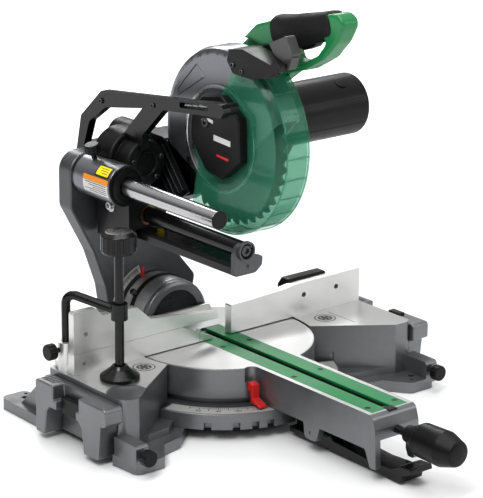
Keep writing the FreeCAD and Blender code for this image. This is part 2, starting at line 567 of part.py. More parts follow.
node("slide_bushes", group(
    "slide_bush_set",
    bush("bush_upper_front", UPPER_X, UPPER_Z, "upper_rail_radius", 4.0, SLEEVE_FRONT + 4, 24),
    bush("bush_upper_rear", UPPER_X, UPPER_Z, "upper_rail_radius", 4.0, SLEEVE_REAR - 28, 24),
    bush("bush_lower_front", LOWER_X, LOWER_Z, "lower_rail_radius", 3.0, SLEEVE_FRONT + 8, 20),
    bush("bush_lower_rear", LOWER_X, LOWER_Z, "lower_rail_radius", 3.0, SLEEVE_REAR - 26, 20)))
drum_body = turned("drum", (DRUM_X, 137, DRUM_Z), (0, -1, 0), [
    (0, 0), (38, 0, 3), (38, 37, 4), (30, 38, 1), (30, 63, 4), (14, 65, 2), (14, 61), (0, 61)])
node("spring_drum", cut("drum_cut", drum_body, rod(
    "sleeve_clearance", ("sleeve_radius", 0.3), 100, (UPPER_X, 50, UPPER_Z), Y_AXIS)))
node("hinge_shaft", rod("hinge_shaft_rod", "hinge_shaft_radius", 111, (LUG_LEFT, HINGE_Y, HINGE_Z), X_AXIS))

FRAME_X, FRAME_WIDTH = -72.0, 11.0
frame_bar = plate("frame_bar", "x", FRAME_X, FRAME_WIDTH, [
    (190, 284), (206, 284), (194, 338, 8), (150, 378, 8), (-70, 405, 3), (-88, 406, 7), (-92, 398, 5),
    (-86, 389, 5), (-66, 388), (24, 378), (66, 338, 6), (68, 318), (100, 318), (103, 334), (66, 372),
    (142, 358, 6), (176, 334, 6), (188, 302)])
frame_slot = plate("frame_slot", "x", FRAME_X - 2, FRAME_WIDTH + 4, [
    (-62, 394, 2.4), (-62, 400.5, 2.4), (-8, 394.5, 2.4), (-8, 387.5, 2.4)])
node("carry_frame", cut("frame_cut", frame_bar, frame_slot, drum_body))
node("frame_roller", rod("roller", 7.2, 16, (FRAME_X - 2.5 + 14, -80, 397), X_AXIS))
thumb_knob("slide_lock_knob", (UPPER_X - 6.5, 118, 304.2), (-0.25, 0, 0.968), 6)

# ---------------------------------------------------------------- saw head

BLADE_Y, BLADE_Z = SIZE["blade_y"], SIZE["blade_z"]
COVER_LEFT, COVER_RIGHT = -15.0, 20.0
CASE_LEFT, CASE_RIGHT = 26.5, 64.0


def around_blade(radius, angle):
    """Point at a radius from the blade axis; 0 degrees is to the rear, 90 straight up."""
    turn = math.radians(angle)
    return BLADE_Y + radius * math.cos(turn), BLADE_Z + radius * math.sin(turn)


def half_disc_outline(radius, first, last, steps):
    """Arc points about the blade axis between two angles."""
    return [around_blade(radius, first + (last - first) * i / steps) for i in range(steps + 1)]


def cover_profile(grow):
    """Blade cover seen from the side: a sector over the top, cut off by a rear chord."""
    radius = SIZE["cover_radius"] + grow
    return half_disc_outline(radius, -9, 158, 30) + [(BLADE_Y - 70, BLADE_Z + 6), (14, 280)]


cover_shell = turned("cover_drum", (0, BLADE_Y, BLADE_Z), X_AXIS, [
    (0, COVER_LEFT), (101, COVER_LEFT), (110, COVER_LEFT + 3.5), (113, COVER_LEFT + 11),
    (113, COVER_RIGHT), (0, COVER_RIGHT)])
cover_inside = turned("cover_inside", (0, BLADE_Y, BLADE_Z), X_AXIS, [
    (0, COVER_LEFT + 2.4), (99, COVER_LEFT + 2.4), (108, COVER_LEFT + 6), (110.6, COVER_LEFT + 12),
    (110.6, COVER_RIGHT - 2.4), (0, COVER_RIGHT - 2.4)])
cover_keep = plate("cover_keep", "x", COVER_LEFT - 1, 40, cover_profile(4))
cover_ring = cut("cover_ring", rod("cover_ring_outer", 68, 5, (COVER_LEFT - 2.4, BLADE_Y, BLADE_Z), X_AXIS),
                 rod("cover_ring_inner", 61, 3, (COVER_LEFT - 3, BLADE_Y, BLADE_Z), X_AXIS))
guard_boss = rod("guard_boss", "guard_hub_radius", 8, (COVER_LEFT - 7, BLADE_Y, BLADE_Z), X_AXIS)
flange_room = rod("flange_room", 34, 30, (COVER_LEFT - 4, BLADE_Y, BLADE_Z), X_AXIS)
neck_hole = rod("cover_neck_hole", 28, 30, (0, BLADE_Y, BLADE_Z), X_AXIS)
cover_hollow = doc.addObject("Part::MultiCommon", "cover_common")
cover_hollow.Shapes = [cut("cover_hollow", cover_shell, cover_inside), cover_keep]
kept_ring = doc.addObject("Part::MultiCommon", "cover_ring_common")
kept_ring.Shapes = [cover_ring, plate("ring_keep", "x", COVER_LEFT - 4, 40, cover_profile(4))]
full_boss = rod("boss_plate", 46, 2.4, (COVER_LEFT, BLADE_Y, BLADE_Z), X_AXIS)
far_plate = rod("far_boss_plate", 46, 2.4, (COVER_RIGHT - 2.4, BLADE_Y, BLADE_Z), X_AXIS)
node("blade_cover", cut("cover_cut", join("cover_solid", cover_hollow, kept_ring, guard_boss,
                                          full_boss, far_plate), flange_room, neck_hole))

node("spindle_cover", rounded("spindle_cover_rounded", plate("spindle_plate", "x", -34, 12, [
    (-38, 402, 6), (-73, 380, 5), (-75, 326, 5), (-40, 298, 8), (-10, 304, 10), (18, 336, 16),
    (19, 366, 16), (0, 394, 12)]), 2.5, lambda edge: abs(edge.BoundBox.XMax + 34) < 0.01))
gear_case = plate("gear_case_body", "x", CASE_LEFT, CASE_RIGHT - CASE_LEFT, [
    (BLADE_Y - 44, 330, 20), (BLADE_Y - 20, 296, 20), (40, 292, 16), (112, 248), (HINGE_Y - 14, 234, 10),
    (HINGE_Y + 19, 240, 16), (HINGE_Y + 19, 268, 16), (HINGE_Y - 8, 286, 14), (96, 330, 20),
    (60, 398, 26), (-10, 410, 14), (-52, 388, 20)])
hinge_boss = rod("hinge_boss", 19, 86, (LUG_LEFT + 13, HINGE_Y, HINGE_Z), X_AXIS)
neck = rod("spindle_neck", 34, CASE_LEFT - COVER_RIGHT + 1, (COVER_RIGHT, BLADE_Y, BLADE_Z), X_AXIS)
case_room = plate("gear_room", "x", CASE_LEFT + 5, CASE_RIGHT - CASE_LEFT - 10, [
    (BLADE_Y - 36, 326, 12), (BLADE_Y - 18, 304, 12), (44, 304, 12), (58, 340, 12), (50, 392, 12),
    (-8, 396, 12), (BLADE_Y - 32, 376, 12)])
head_hinge_bore = rod("head_hinge_bore", ("hinge_shaft_radius", SIZE["running_fit"]), 120,
                      (-40, HINGE_Y, HINGE_Z), X_AXIS)
spindle_bore = rod("spindle_bore", 14, 25, (15, BLADE_Y, BLADE_Z), X_AXIS)
MOTOR_Y, MOTOR_Z = SIZE["motor_y"], SIZE["motor_z"]
rotor_bore = rod("rotor_bore", 11, 20, (CASE_RIGHT - 8, MOTOR_Y, MOTOR_Z), X_AXIS)
node("gear_case", cut("gear_case_cut", join("gear_case_solid", gear_case, hinge_boss, neck), case_room,
                      head_hinge_bore, spindle_bore, rotor_bore))

MOTOR_END = SIZE["motor_end"]
motor_shell = turned("motor_shell", (CASE_RIGHT, MOTOR_Y, MOTOR_Z), X_AXIS, [
    (0, 0), (41, 0, 2), (41, 8, 1), (SIZE["motor_radius"], 12),
    (SIZE["motor_radius"], MOTOR_END - CASE_RIGHT, 6), (0, MOTOR_END - CASE_RIGHT)])
motor_room = rod("motor_room", 35.5, 137, (CASE_RIGHT + 2, MOTOR_Y, MOTOR_Z), X_AXIS)
motor_rear_seat = rod("motor_rear_seat", 13, 20, (199, MOTOR_Y, MOTOR_Z), X_AXIS)
motor_front_hole = rod("motor_front_hole", 11, 20, (CASE_RIGHT - 4, MOTOR_Y, MOTOR_Z), X_AXIS)
node("motor_housing", cut("motor_housing_cut", motor_shell, motor_room, motor_front_hole,
                          motor_rear_seat))
stator_blank = rod("stator_blank", 35.3, 52, (100, MOTOR_Y, MOTOR_Z), X_AXIS)
stator_bore = rod("stator_bore", 23.5, 60, (98, MOTOR_Y, MOTOR_Z), X_AXIS)
node("motor_stator", cut("stator_cut", stator_blank, stator_bore))

def ring(name, inner, outer, width, origin):
    """Bearing ring about an axis along X."""
    return cut(name, rod(name + "_outer", outer, width, origin, X_AXIS),
               rod(name + "_inner", inner, width + 4, (origin[0] - 2, *origin[1:]), X_AXIS))


node("ball_bearings", group(
    "bearing_set",
    ring("bearing_spindle_near", 8.05, 14, 9, (21, BLADE_Y, BLADE_Z)),
    ring("bearing_motor_near", 6.05, 11, 7, (CASE_RIGHT - 5, MOTOR_Y, MOTOR_Z)),
    ring("bearing_motor_far", 5.05, 13, 8, (207, MOTOR_Y, MOTOR_Z))))

HANDLE_X = SIZE["handle_plane"]
handle_loop = plate("handle_loop", "x", HANDLE_X - 13, 26, [
    (10, 440, 6), (-38, 482, 14), (-68, 492, 8), (-182, 519, 12), (-198, 509, 10), (-184, 484, 12),
    (-162, 461, 12), (-128, 442, 14), (-100, 434, 10), (-52, 400), (-20, 400), (10, 412, 8)])
handle_window = plate("handle_window", "x", HANDLE_X - 20, 40, [
    (-98, 462, 5), (-158, 487, 8), (-168, 484, 5), (-151, 464, 8), (-124, 450, 8), (-104, 450, 4)])
trigger_slot = plate("trigger_slot", "x", HANDLE_X - 6.5, 13, [
    (-106, 480), (-147, 496), (-149, 476), (-106, 458)])
guard_swing_room = rod("guard_swing_room", ("guard_radius", 3.0), 30, (-3.2, BLADE_Y, BLADE_Z), X_AXIS)
trigger_pin = rod("trigger_pin", 1.5, 16, (HANDLE_X - 8, -113, 470), X_AXIS)
node("handle_shell", join("handle_solid", cut(
    "handle_cut", handle_loop, handle_window, trigger_slot, guard_swing_room, gear_case), trigger_pin))
node("trigger", plate("trigger_plate", "x", HANDLE_X - 6, 12, [
    (-109, 474, 2), (-141, 487, 2), (-143, 478, 2), (-137, 471, 5), (-120, 464, 5), (-109, 466, 1)],
    holes=[(-113, 470, 1.58)]))

top_bracket_low = plate("bracket_side", "x", -31.5, 11, [
    (-50, 456, 4), (-76, 464, 4), (-132, 452, 4), (-128, 440, 3), (-92, 432, 4), (-58, 433, 4),
    (-47, 447, 4)])
top_bracket_top = plate("bracket_top", "x", -31.5, 29.5, [
    (-50, 460.5), (-76, 465), (-132, 455, 4), (-130, 446), (-96, 444), (-70, 455.5), (-50, 455)])
bracket_foot = plate("bracket_foot", "x", -31.5, 49.2, [
    (-50, 460.5), (-76, 465), (-80, 458), (-52, 455.6)])
lever_ear = plate("lever_ear", "x", -31.5, 7.5, [(-124, 446), (-124, 454), (-136, 462, 3), (-146, 458, 4),
                                             (-142, 449, 4), (-132, 444)])
lever_pivot = rod("lever_pivot", 2.2, 26, (-28, -139, 455.5), X_AXIS)
node("guard_bracket", join("guard_bracket_solid", top_bracket_low, top_bracket_top, bracket_foot,
                           lever_ear, lever_pivot))
node("guard_lever", join(
    "guard_lever_solid",
    plate("lever_head", "x", -18, 14, [
        (-107, 476, 3), (-138, 490, 3), (-150, 470, 3), (-146, 460), (-128, 460), (-118, 464)]),
    plate("lever_stem", "x", -18, 12, [(-130, 466), (-150, 466), (-144, 450.5, 3), (-134, 450.5, 2)],
          holes=[(-139, 455.5, 2.3)])))

duct_body = plate("duct", "x", -17.5, 36, [
    (94, 321), (43, 261), (73, 241), (134, 243, 8), (140, 256, 6), (140, 322, 6)])
duct_room = plate("duct_room", "x", -15, 31, [
    (80, 316), (36, 262), (74, 244), (131, 246, 6), (137, 258, 4), (137, 318, 4), (98, 318)])
port_bore = rod("port_bore", 17.5, 90, (3, 130, 300), Y_AXIS)
cover_face = plate("cover_face", "x", -30, 60, cover_profile(4))
node("dust_duct", cut("duct_cut", duct_body, duct_room, port_bore, cover_face))
node("dust_port", cut("port_cut", rod("port_outer", 20.5, 73, (3, 140, 300), Y_AXIS), port_bore))

# ---------------------------------------------------------------- lower guard

GUARD_LEFT, GUARD_RIGHT = -20.0, 25.0
GUARD_FIRST, GUARD_LAST = 112.0, 296.0
guard_drum = turned("guard_drum", (0, BLADE_Y, BLADE_Z), X_AXIS, [
    (0, GUARD_LEFT), (108, GUARD_LEFT), (110, GUARD_LEFT + 1), (118, GUARD_LEFT + 9),
    (118, GUARD_RIGHT), (0, GUARD_RIGHT)])
guard_inside = turned("guard_inside", (0, BLADE_Y, BLADE_Z), X_AXIS, [
    (0, GUARD_LEFT + 1.8), (107.4, GUARD_LEFT + 1.8), (116.2, GUARD_LEFT + 10.6),
    (116.2, GUARD_RIGHT - 1.8), (0, GUARD_RIGHT - 1.8)])
guard_keep = plate("guard_keep", "x", GUARD_LEFT - 1, 48, half_disc_outline(
    122, GUARD_FIRST, GUARD_LAST, 34) + [around_blade(30, 20)])
guard_sector = doc.addObject("Part::MultiCommon", "guard_common")
guard_sector.Shapes = [cut("guard_hollow", guard_drum, guard_inside), guard_keep]
guard_ring_left = rod("guard_ring_left", 50, 1.8, (GUARD_LEFT, BLADE_Y, BLADE_Z), X_AXIS)
guard_ring_right = rod("guard_ring_right", 50, 1.8, (GUARD_RIGHT - 1.8, BLADE_Y, BLADE_Z), X_AXIS)
guard_hole = rod("guard_hole", ("guard_hub_radius", 0.08), 60, (GUARD_LEFT - 5, BLADE_Y, BLADE_Z), X_AXIS)
node("lower_guard", cut("guard_cut", join("guard_solid", guard_sector, guard_ring_left,
                                          guard_ring_right), guard_hole))

# ---------------------------------------------------------------- blade, spindle and rotor

TEETH = 40


def saw_outline(radius, teeth):
    """Toothed rim: each tooth has a raked face, a land and a gullet."""
    points = []
    for index in range(teeth):
        start = 360.0 * index / teeth
        for share, depth in ((0.0, 0.0), (0.30, 1.4), (0.62, 6.5), (0.86, 6.5)):
            turn = math.radians(start + share * 360.0 / teeth)
            points.append((BLADE_Y + (radius - depth) * math.cos(turn),
                           BLADE_Z + (radius - depth) * math.sin(turn)))
    return points


node("saw_blade", plate("blade", "x", -SIZE["blade_thickness"] / 2, "blade_thickness",
                        saw_outline(SIZE["blade_radius"], TEETH),
                        holes=[(BLADE_Y, BLADE_Z, "arbor_radius")]))
half_blade = SIZE["blade_thickness"] / 2
node("blade_flanges", group(
    "flange_set",
    ring("flange_outer", 8, 21, 4, (-half_blade - 4, BLADE_Y, BLADE_Z)),
    join("flange_inner", ring("flange_inner_disc", 8, 21, 5, (half_blade, BLADE_Y, BLADE_Z)),
         ring("flange_inner_boss", 8, 15, SIZE["blade_thickness"], (-half_blade, BLADE_Y, BLADE_Z)))))
node("spindle", join("spindle_solid",
                     rod("spindle_rod", 8, 63, (-half_blade - 4, BLADE_Y, BLADE_Z), X_AXIS),
                     rod("spindle_bolt", 10, 7, (-half_blade - 11, BLADE_Y, BLADE_Z), X_AXIS)))

MODULE = 1.5
GEAR_TEETH, PINION_TEETH = 40, 9
GEAR_X, GEAR_WIDTH = 38.0, 12.0


def gear_outline(centre, teeth, phase):
    """Straight-flanked gear outline with clearance at root and flank."""
    pitch_radius = MODULE * teeth / 2
    tooth = 360.0 / teeth
    points = []
    for index in range(teeth):
        for share, radius in ((-0.29, pitch_radius - 1.15 * MODULE), (-0.13, pitch_radius + 0.75 * MODULE),
                              (0.13, pitch_radius + 0.75 * MODULE), (0.29, pitch_radius - 1.15 * MODULE)):
            turn = math.radians(phase + (index + share) * tooth)
            points.append((centre[0] + radius * math.cos(turn), centre[1] + radius * math.sin(turn)))
    return points


axis_angle = math.degrees(math.atan2(MOTOR_Z - BLADE_Z, MOTOR_Y - BLADE_Y))
node("driven_gear", plate("gear", "x", GEAR_X, GEAR_WIDTH,
                          gear_outline((BLADE_Y, BLADE_Z), GEAR_TEETH, axis_angle),
                          holes=[(BLADE_Y, BLADE_Z, 8)]))
pinion = plate("pinion", "x", GEAR_X - 1, 16, gear_outline(
    (MOTOR_Y, MOTOR_Z), PINION_TEETH, axis_angle + 180 + 180.0 / PINION_TEETH))
rotor_shaft = rod("rotor_shaft", 6, 100, (GEAR_X + 14, MOTOR_Y, MOTOR_Z), X_AXIS)
rotor_tail = rod("rotor_tail", 5, 67, (150, MOTOR_Y, MOTOR_Z), X_AXIS)
rotor_core = rod("rotor_core", 22.5, 50, (101, MOTOR_Y, MOTOR_Z), X_AXIS)
commutator = rod("commutator", 13, 22, (158, MOTOR_Y, MOTOR_Z), X_AXIS)
node("armature", join("armature_solid", pinion, rotor_shaft, rotor_tail, rotor_core, commutator))
fan_disc = ring("fan_disc", 6, 31, 3, (84, MOTOR_Y, MOTOR_Z))
fan_blades = []
for index in range(12):
    vane = block(f"fan_blade_{index}", (76, 12, -1), (84.5, 30, 1))
    spin = Placement(Vector(0, MOTOR_Y, MOTOR_Z), Rotation(Vector(1, 0, 0), 30 * index))
    vane.Placement = spin.multiply(vane.Placement)
    fan_blades.append(vane)
fan_hub = ring("fan_hub", 6, 14, 10, (76, MOTOR_Y, MOTOR_Z))
node("cooling_fan", join("fan_solid", fan_disc, fan_hub, *fan_blades))

# ---------------------------------------------------------------- vise

VISE_X, VISE_Y = SIZE["vise_x"], SIZE["vise_y"]
ARM_Z = TABLE + 84.0
ARM_TOP = TABLE + 98.0
BEND = 12.0


def vise_arm_shape():
    """Bent round bar: up the post, round the bend and along to the screw eye."""
    top = Vector(POST_X, POST_Y, ARM_TOP)
    eye = Vector(VISE_X, VISE_Y, ARM_Z)
    along = (eye - top).normalize()
    up = Vector(0, 0, 1)
    half = (math.pi - up.getAngle(along)) / 2
    reach = BEND * math.tan(math.pi / 2 - half)
    start, end = top - up * reach, top + along * reach
    centre = top + (along - up).normalize() * (BEND / math.sin(half))
    middle = centre + (top - centre).normalize() * BEND
    path = Part.Wire([
        Part.LineSegment(Vector(POST_X, POST_Y, TABLE + 4), start).toShape(),
        Part.Arc(start, middle, end).toShape(),
        Part.LineSegment(end, eye - along * 6).toShape()])
    section = Part.Wire(Part.Circle(
        Vector(POST_X, POST_Y, TABLE + 4), Vector(0, 0, 1), SIZE["post_radius"]).toShape())
    return path.makePipeShell([section], True, False)


bent_bar = doc.addObject("Part::Feature", "vise_bar")
bent_bar.Shape = vise_arm_shape()
eye_blank = rod("vise_eye_blank", 10, 20, (VISE_X, VISE_Y, ARM_Z - 10))
eye_bore = rod("vise_eye_bore", 5.55, 60, (VISE_X, VISE_Y, ARM_Z - 30))
node("vise_arm", cut("vise_arm_cut", join("vise_arm_solid", bent_bar, eye_blank), eye_bore))
vise_rod = rod("vise_screw_rod", 5.5, 172, (VISE_X, VISE_Y, TABLE + 9))
vise_knob = turned("vise_knob", (VISE_X, VISE_Y, TABLE + 157), Z_AXIS, [
    (0, 0), (20, 0, 2), (21.5, 4), (21.5, 22, 2), (16, 26, 4), (0, 27)])
vise_flutes = []
for index in range(20):
    angle = math.radians(18 * index)
    vise_flutes.append(rod(f"vise_flute_{index}", 1.6, 24, (
        VISE_X + 22.2 * math.cos(angle), VISE_Y + 22.2 * math.sin(angle), TABLE + 155)))
node("vise_screw", join("vise_screw_solid", vise_rod, cut("vise_knob_cut", vise_knob, *vise_flutes)))
node("vise_foot", turned("foot_cup", (VISE_X, VISE_Y, TABLE), Z_AXIS, [
    (0, 0.2), (24, 0.2), (24, 4, 1), (12, 13, 8), (9, 17), (7, 17), (7, 8), (0, 8)]))

# ---------------------------------------------------------------- checks and export

doc.recompute()
for item in doc.Objects:
    if {"Invalid", "Error"} & set(item.State):
        raise RuntimeError(f"{item.Name} failed: {item.State}")
os.makedirs("parts", exist_ok=True)
for piece in nodes:
    shape = piece.Shape
    if shape.isNull() or not shape.isValid():
        raise RuntimeError(f"{piece.Label} has no valid shape")
    shape.exportStep(f"parts/{piece.Label}.step")
print(len(nodes), "sub-parts written")
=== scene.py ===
import json
import math

import bmesh
import bpy
from mathutils import Euler, Matrix, Vector


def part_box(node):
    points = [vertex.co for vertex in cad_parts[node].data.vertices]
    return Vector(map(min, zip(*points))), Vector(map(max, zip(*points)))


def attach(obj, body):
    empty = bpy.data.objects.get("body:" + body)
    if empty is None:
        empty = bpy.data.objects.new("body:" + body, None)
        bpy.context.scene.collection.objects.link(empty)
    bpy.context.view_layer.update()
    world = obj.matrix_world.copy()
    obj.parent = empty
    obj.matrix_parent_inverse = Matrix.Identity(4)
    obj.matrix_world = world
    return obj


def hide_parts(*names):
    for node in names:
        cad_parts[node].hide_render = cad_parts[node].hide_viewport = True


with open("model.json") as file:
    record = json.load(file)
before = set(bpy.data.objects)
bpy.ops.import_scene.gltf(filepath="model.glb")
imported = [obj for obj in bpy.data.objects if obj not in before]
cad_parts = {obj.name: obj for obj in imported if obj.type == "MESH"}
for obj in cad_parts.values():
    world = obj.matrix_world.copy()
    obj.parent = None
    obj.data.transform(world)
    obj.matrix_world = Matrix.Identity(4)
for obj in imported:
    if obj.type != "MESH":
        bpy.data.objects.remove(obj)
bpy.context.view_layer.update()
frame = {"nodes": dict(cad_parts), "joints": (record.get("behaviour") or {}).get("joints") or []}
NODES = frame["nodes"]
MM = 0.001


def millimetres(place):
    """Place from the frame, in the script's own unit."""
    return [round(value / MM, 3) for value in place]


def box(node):
    """Lowest and highest corners of a CAD piece at rest."""
    return [millimetres(corner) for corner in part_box(node)]


def middle(node):
    """Middle of a CAD piece's box at rest."""
    return [(low + high) / 2 for low, high in zip(*box(node))]


def pivot(name):
    """Place of a hinge at rest."""
    hinge = next(joint for joint in frame["joints"] if joint["name"] == name)
    return millimetres(hinge["pos_m"])


# levels, faces and axes of the main parts, in millimetres
TABLE = box("base_casting")[1][2]
SCALE_LEVEL = box("mitre_scale")[1][2] + 0.05
COLUMN_FACE = box("column")[0][1]
BARREL_X, _, BARREL_Z = pivot("bevel_tilt")
BARREL_AXIS = (BARREL_X, BARREL_Z)
SLEEVE_X, _, SLEEVE_Z = middle("upper_slide_pipe")
LOWER_PIPE_X, _, LOWER_PIPE_Z = middle("lower_slide_pipe")
DRUM_X, DRUM_Z = -60, 298
CHEEK_BOLT = (-90, 107, 243)
_, HINGE_Y, HINGE_Z = pivot("head_swing")
BLADE_AXIS = pivot("blade_spin")[1:]
PRINT_FACE = box("spindle_cover")[0][0] - 0.3
_, MOTOR_Y, MOTOR_Z = pivot("motor_spin")
MOTOR_END = box("motor_housing")[1][0]
HANDLE_X = middle("handle_shell")[0]

# ------------------------------------------------------------------ materials


def node_of(tree, kind, **inputs):
    """New shader node with constants set straight on its sockets."""
    made = tree.nodes.new(kind)
    for name, value in inputs.items():
        made.inputs[name.replace("_", " ")].default_value = value
    return made


def link(tree, source, target):
    tree.links.new(source, target)


def remap(tree, source, from_min, from_max, to_min, to_max, smooth=False):
    """Value carried from one range to another."""
    made = tree.nodes.new("ShaderNodeMapRange")
    if smooth:
        made.interpolation_type = "SMOOTHSTEP"
    made.inputs["From Min"].default_value = from_min
    made.inputs["From Max"].default_value = from_max
    made.inputs["To Min"].default_value = to_min
    made.inputs["To Max"].default_value = to_max
    link(tree, source, made.inputs["Value"])
    return made.outputs["Result"]


def split_height(tree, vector):
    """Z of a vector."""
    made = tree.nodes.new("ShaderNodeSeparateXYZ")
    link(tree, vector, made.inputs["Vector"])
    return made.outputs["Z"]


def calculate(tree, operation, first, second):
    """Two values put together by a Math node."""
    made = tree.nodes.new("ShaderNodeMath")
    made.operation = operation
    link(tree, first, made.inputs[0])
    link(tree, second, made.inputs[1])
    return made.outputs["Value"]


def show_mix(tree, share, first, second):
    """Material output as a mix of two shaders."""
    output = next(node for node in tree.nodes if node.type == "OUTPUT_MATERIAL")
    mix = tree.nodes.new("ShaderNodeMixShader")
    link(tree, share, mix.inputs["Fac"])
    link(tree, first.outputs["BSDF"], mix.inputs[1])
    link(tree, second.outputs["BSDF"], mix.inputs[2])
    link(tree, mix.outputs["Shader"], output.inputs["Surface"])


def rgba(color):
    return (*color, 1.0)


DUST = (0.55, 0.52, 0.47)
MOTTLE_SCALE = 28.0


def surface(name, color, rough=0.4, metal=0.0, grain=0.02, grain_scale=900.0, mottling=0.06, dust=0.05,
            coat=0.0, streak=None, shine=0.5):
    """Painted, cast or moulded surface: mottled colour, uneven gloss, fine grain and a little dust."""
    material = bpy.data.materials.new(name)
    material.use_nodes = True
    tree = material.node_tree
    shader = tree.nodes["Principled BSDF"]
    shader.inputs["Metallic"].default_value = metal
    shader.inputs["Specular IOR Level"].default_value = shine
    shader.inputs["Coat Weight"].default_value = coat
    shader.inputs["Coat Roughness"].default_value = 0.15
    coords = tree.nodes.new("ShaderNodeTexCoord").outputs["Object"]
    place = coords
    if streak:
        mapping = tree.nodes.new("ShaderNodeMapping")
        mapping.inputs["Scale"].default_value = streak
        link(tree, coords, mapping.inputs["Vector"])
        place = mapping.outputs["Vector"]
    broad = node_of(tree, "ShaderNodeTexNoise", Scale=MOTTLE_SCALE, Detail=5.0, Roughness=0.6)
    fine = node_of(tree, "ShaderNodeTexNoise", Scale=grain_scale, Detail=3.0, Roughness=0.6)
    link(tree, coords, broad.inputs["Vector"])
    link(tree, place, fine.inputs["Vector"])

    shade = tree.nodes.new("ShaderNodeValToRGB")
    shade.color_ramp.elements[0].position = 0.3
    shade.color_ramp.elements[1].position = 0.72
    shade.color_ramp.elements[0].color = rgba([c * (1 - mottling * 2) for c in color])
    shade.color_ramp.elements[1].color = rgba([min(1.0, c * (1 + mottling)) for c in color])
    link(tree, broad.outputs["Fac"], shade.inputs["Fac"])

    # dust lies on faces that look upwards
    facing = tree.nodes.new("ShaderNodeNewGeometry")
    upward = remap(tree, split_height(tree, facing.outputs["Normal"]), 0.6, 1.0, 0.0, dust)
    mix = tree.nodes.new("ShaderNodeMix")
    mix.data_type = "RGBA"
    mix.inputs["B"].default_value = rgba(DUST)
    link(tree, calculate(tree, "MULTIPLY", upward, broad.outputs["Fac"]), mix.inputs["Factor"])
    link(tree, shade.outputs["Color"], mix.inputs["A"])
    link(tree, mix.outputs["Result"], shader.inputs["Base Color"])

    gloss = remap(tree, broad.outputs["Fac"], 0.3, 0.7, rough * 0.82, rough * 1.2)
    link(tree, gloss, shader.inputs["Roughness"])
    bump = node_of(tree, "ShaderNodeBump", Strength=grain * 10, Distance=0.0002)
    link(tree, fine.outputs["Fac"], bump.inputs["Height"])
    link(tree, bump.outputs["Normal"], shader.inputs["Normal"])
    return material


def milled_above(material, level, color):
    """Adds a bright milled finish to every face above a level, in metres."""
    tree = material.node_tree
    milled = node_of(tree, "ShaderNodeBsdfPrincipled", Base_Color=rgba(color), Roughness=0.28, Metallic=0.85)
    coords = tree.nodes.new("ShaderNodeTexCoord").outputs["Object"]
    mapping = tree.nodes.new("ShaderNodeMapping")
    mapping.inputs["Scale"].default_value = (30, 1600, 30)
    lines = node_of(tree, "ShaderNodeTexNoise", Scale=1.0, Detail=4.0)
    link(tree, coords, mapping.inputs["Vector"])
    link(tree, mapping.outputs["Vector"], lines.inputs["Vector"])
    bump = node_of(tree, "ShaderNodeBump", Strength=0.12, Distance=0.0001)
    link(tree, lines.outputs["Fac"], bump.inputs["Height"])
    link(tree, bump.outputs["Normal"], milled.inputs["Normal"])
    above = tree.nodes.new("ShaderNodeMath")
    above.operation = "GREATER_THAN"
    above.inputs[1].default_value = level
    link(tree, split_height(tree, coords), above.inputs[0])
    show_mix(tree, above.outputs["Value"], tree.nodes["Principled BSDF"], milled)
    return material


def clear_plastic(name, tint, body, share):
    """Tinted see-through plastic: tinted straight-through light mixed with a glossy coloured skin."""
    material = bpy.data.materials.new(name)
    material.use_nodes = True
    tree = material.node_tree
    skin = tree.nodes["Principled BSDF"]
    skin.inputs["Base Color"].default_value = rgba(body)
    skin.inputs["Roughness"].default_value = 0.12
    skin.inputs["Coat Weight"].default_value = 0.6
    through = node_of(tree, "ShaderNodeBsdfTransparent", Color=rgba(tint))
    rim = node_of(tree, "ShaderNodeLayerWeight", Blend=0.35)
    show_mix(tree, remap(tree, rim.outputs["Facing"], 0.0, 1.0, 1 - share, 0.8), through, skin)
    return material


SILVER = dict(color=(0.225, 0.23, 0.24), rough=0.34, metal=0.75, grain=0.04, grain_scale=1400)
CAST = surface("cast_silver", **SILVER)
CAST_MILLED = milled_above(surface("cast_silver_milled", **SILVER), (TABLE - 0.3) * MM, (0.60, 0.60, 0.595))
FENCE = surface("fence_silver", (0.72, 0.72, 0.71), rough=0.38, metal=0.75, grain=0.012, grain_scale=1.0,
                mottling=0.03, streak=(60, 900, 900))
COLUMN = surface("column_grey", (0.115, 0.118, 0.125), rough=0.36, metal=0.6, grain=0.03, grain_scale=1400)
DARK_CAST = surface("dark_cast", (0.016, 0.016, 0.018), rough=0.34, metal=0.2, grain=0.035, grain_scale=1300,
                    dust=0.01, coat=0.1, shine=0.35)
COVER = surface("cover_grey", (0.235, 0.24, 0.258), rough=0.32, metal=0.8, grain=0.02, grain_scale=1500)
BLACK = surface("black_plastic", (0.006, 0.006, 0.0065), rough=0.36, grain=0.03, grain_scale=1700, dust=0.01,
                shine=0.28)
BLACK_PAINT = surface("black_paint", (0.004, 0.004, 0.0045), rough=0.24, grain=0.02, grain_scale=700,
                      coat=0.15, dust=0.008, shine=0.35)
RUBBER = surface("grip_rubber", (0.011, 0.010, 0.011), rough=0.6, grain=0.12, grain_scale=1100, dust=0.02,
                 shine=0.3)
GREEN = surface("green_plastic", (0.010, 0.205, 0.066), rough=0.32, grain=0.02, grain_scale=1500, coat=0.15)
KERF_GREEN = surface("kerf_green", (0.008, 0.225, 0.07), rough=0.45, grain=0.05, grain_scale=900)
CHROME = surface("chrome", (0.50, 0.50, 0.51), rough=0.24, metal=1.0, grain=0.0, mottling=0.02, dust=0.01)
STEEL = surface("bright_steel", (0.56, 0.56, 0.57), rough=0.25, metal=1.0, grain=0.01, mottling=0.05,
                grain_scale=500)
BLADE = surface("blade_steel", (0.24, 0.24, 0.24), rough=0.34, metal=1.0, grain=0.02, grain_scale=400)
DARK_STEEL = surface("dark_steel", (0.10, 0.10, 0.105), rough=0.35, metal=0.9)
SCALE = surface("scale_plate", (0.62, 0.62, 0.61), rough=0.35, metal=0.4, grain=0.01)
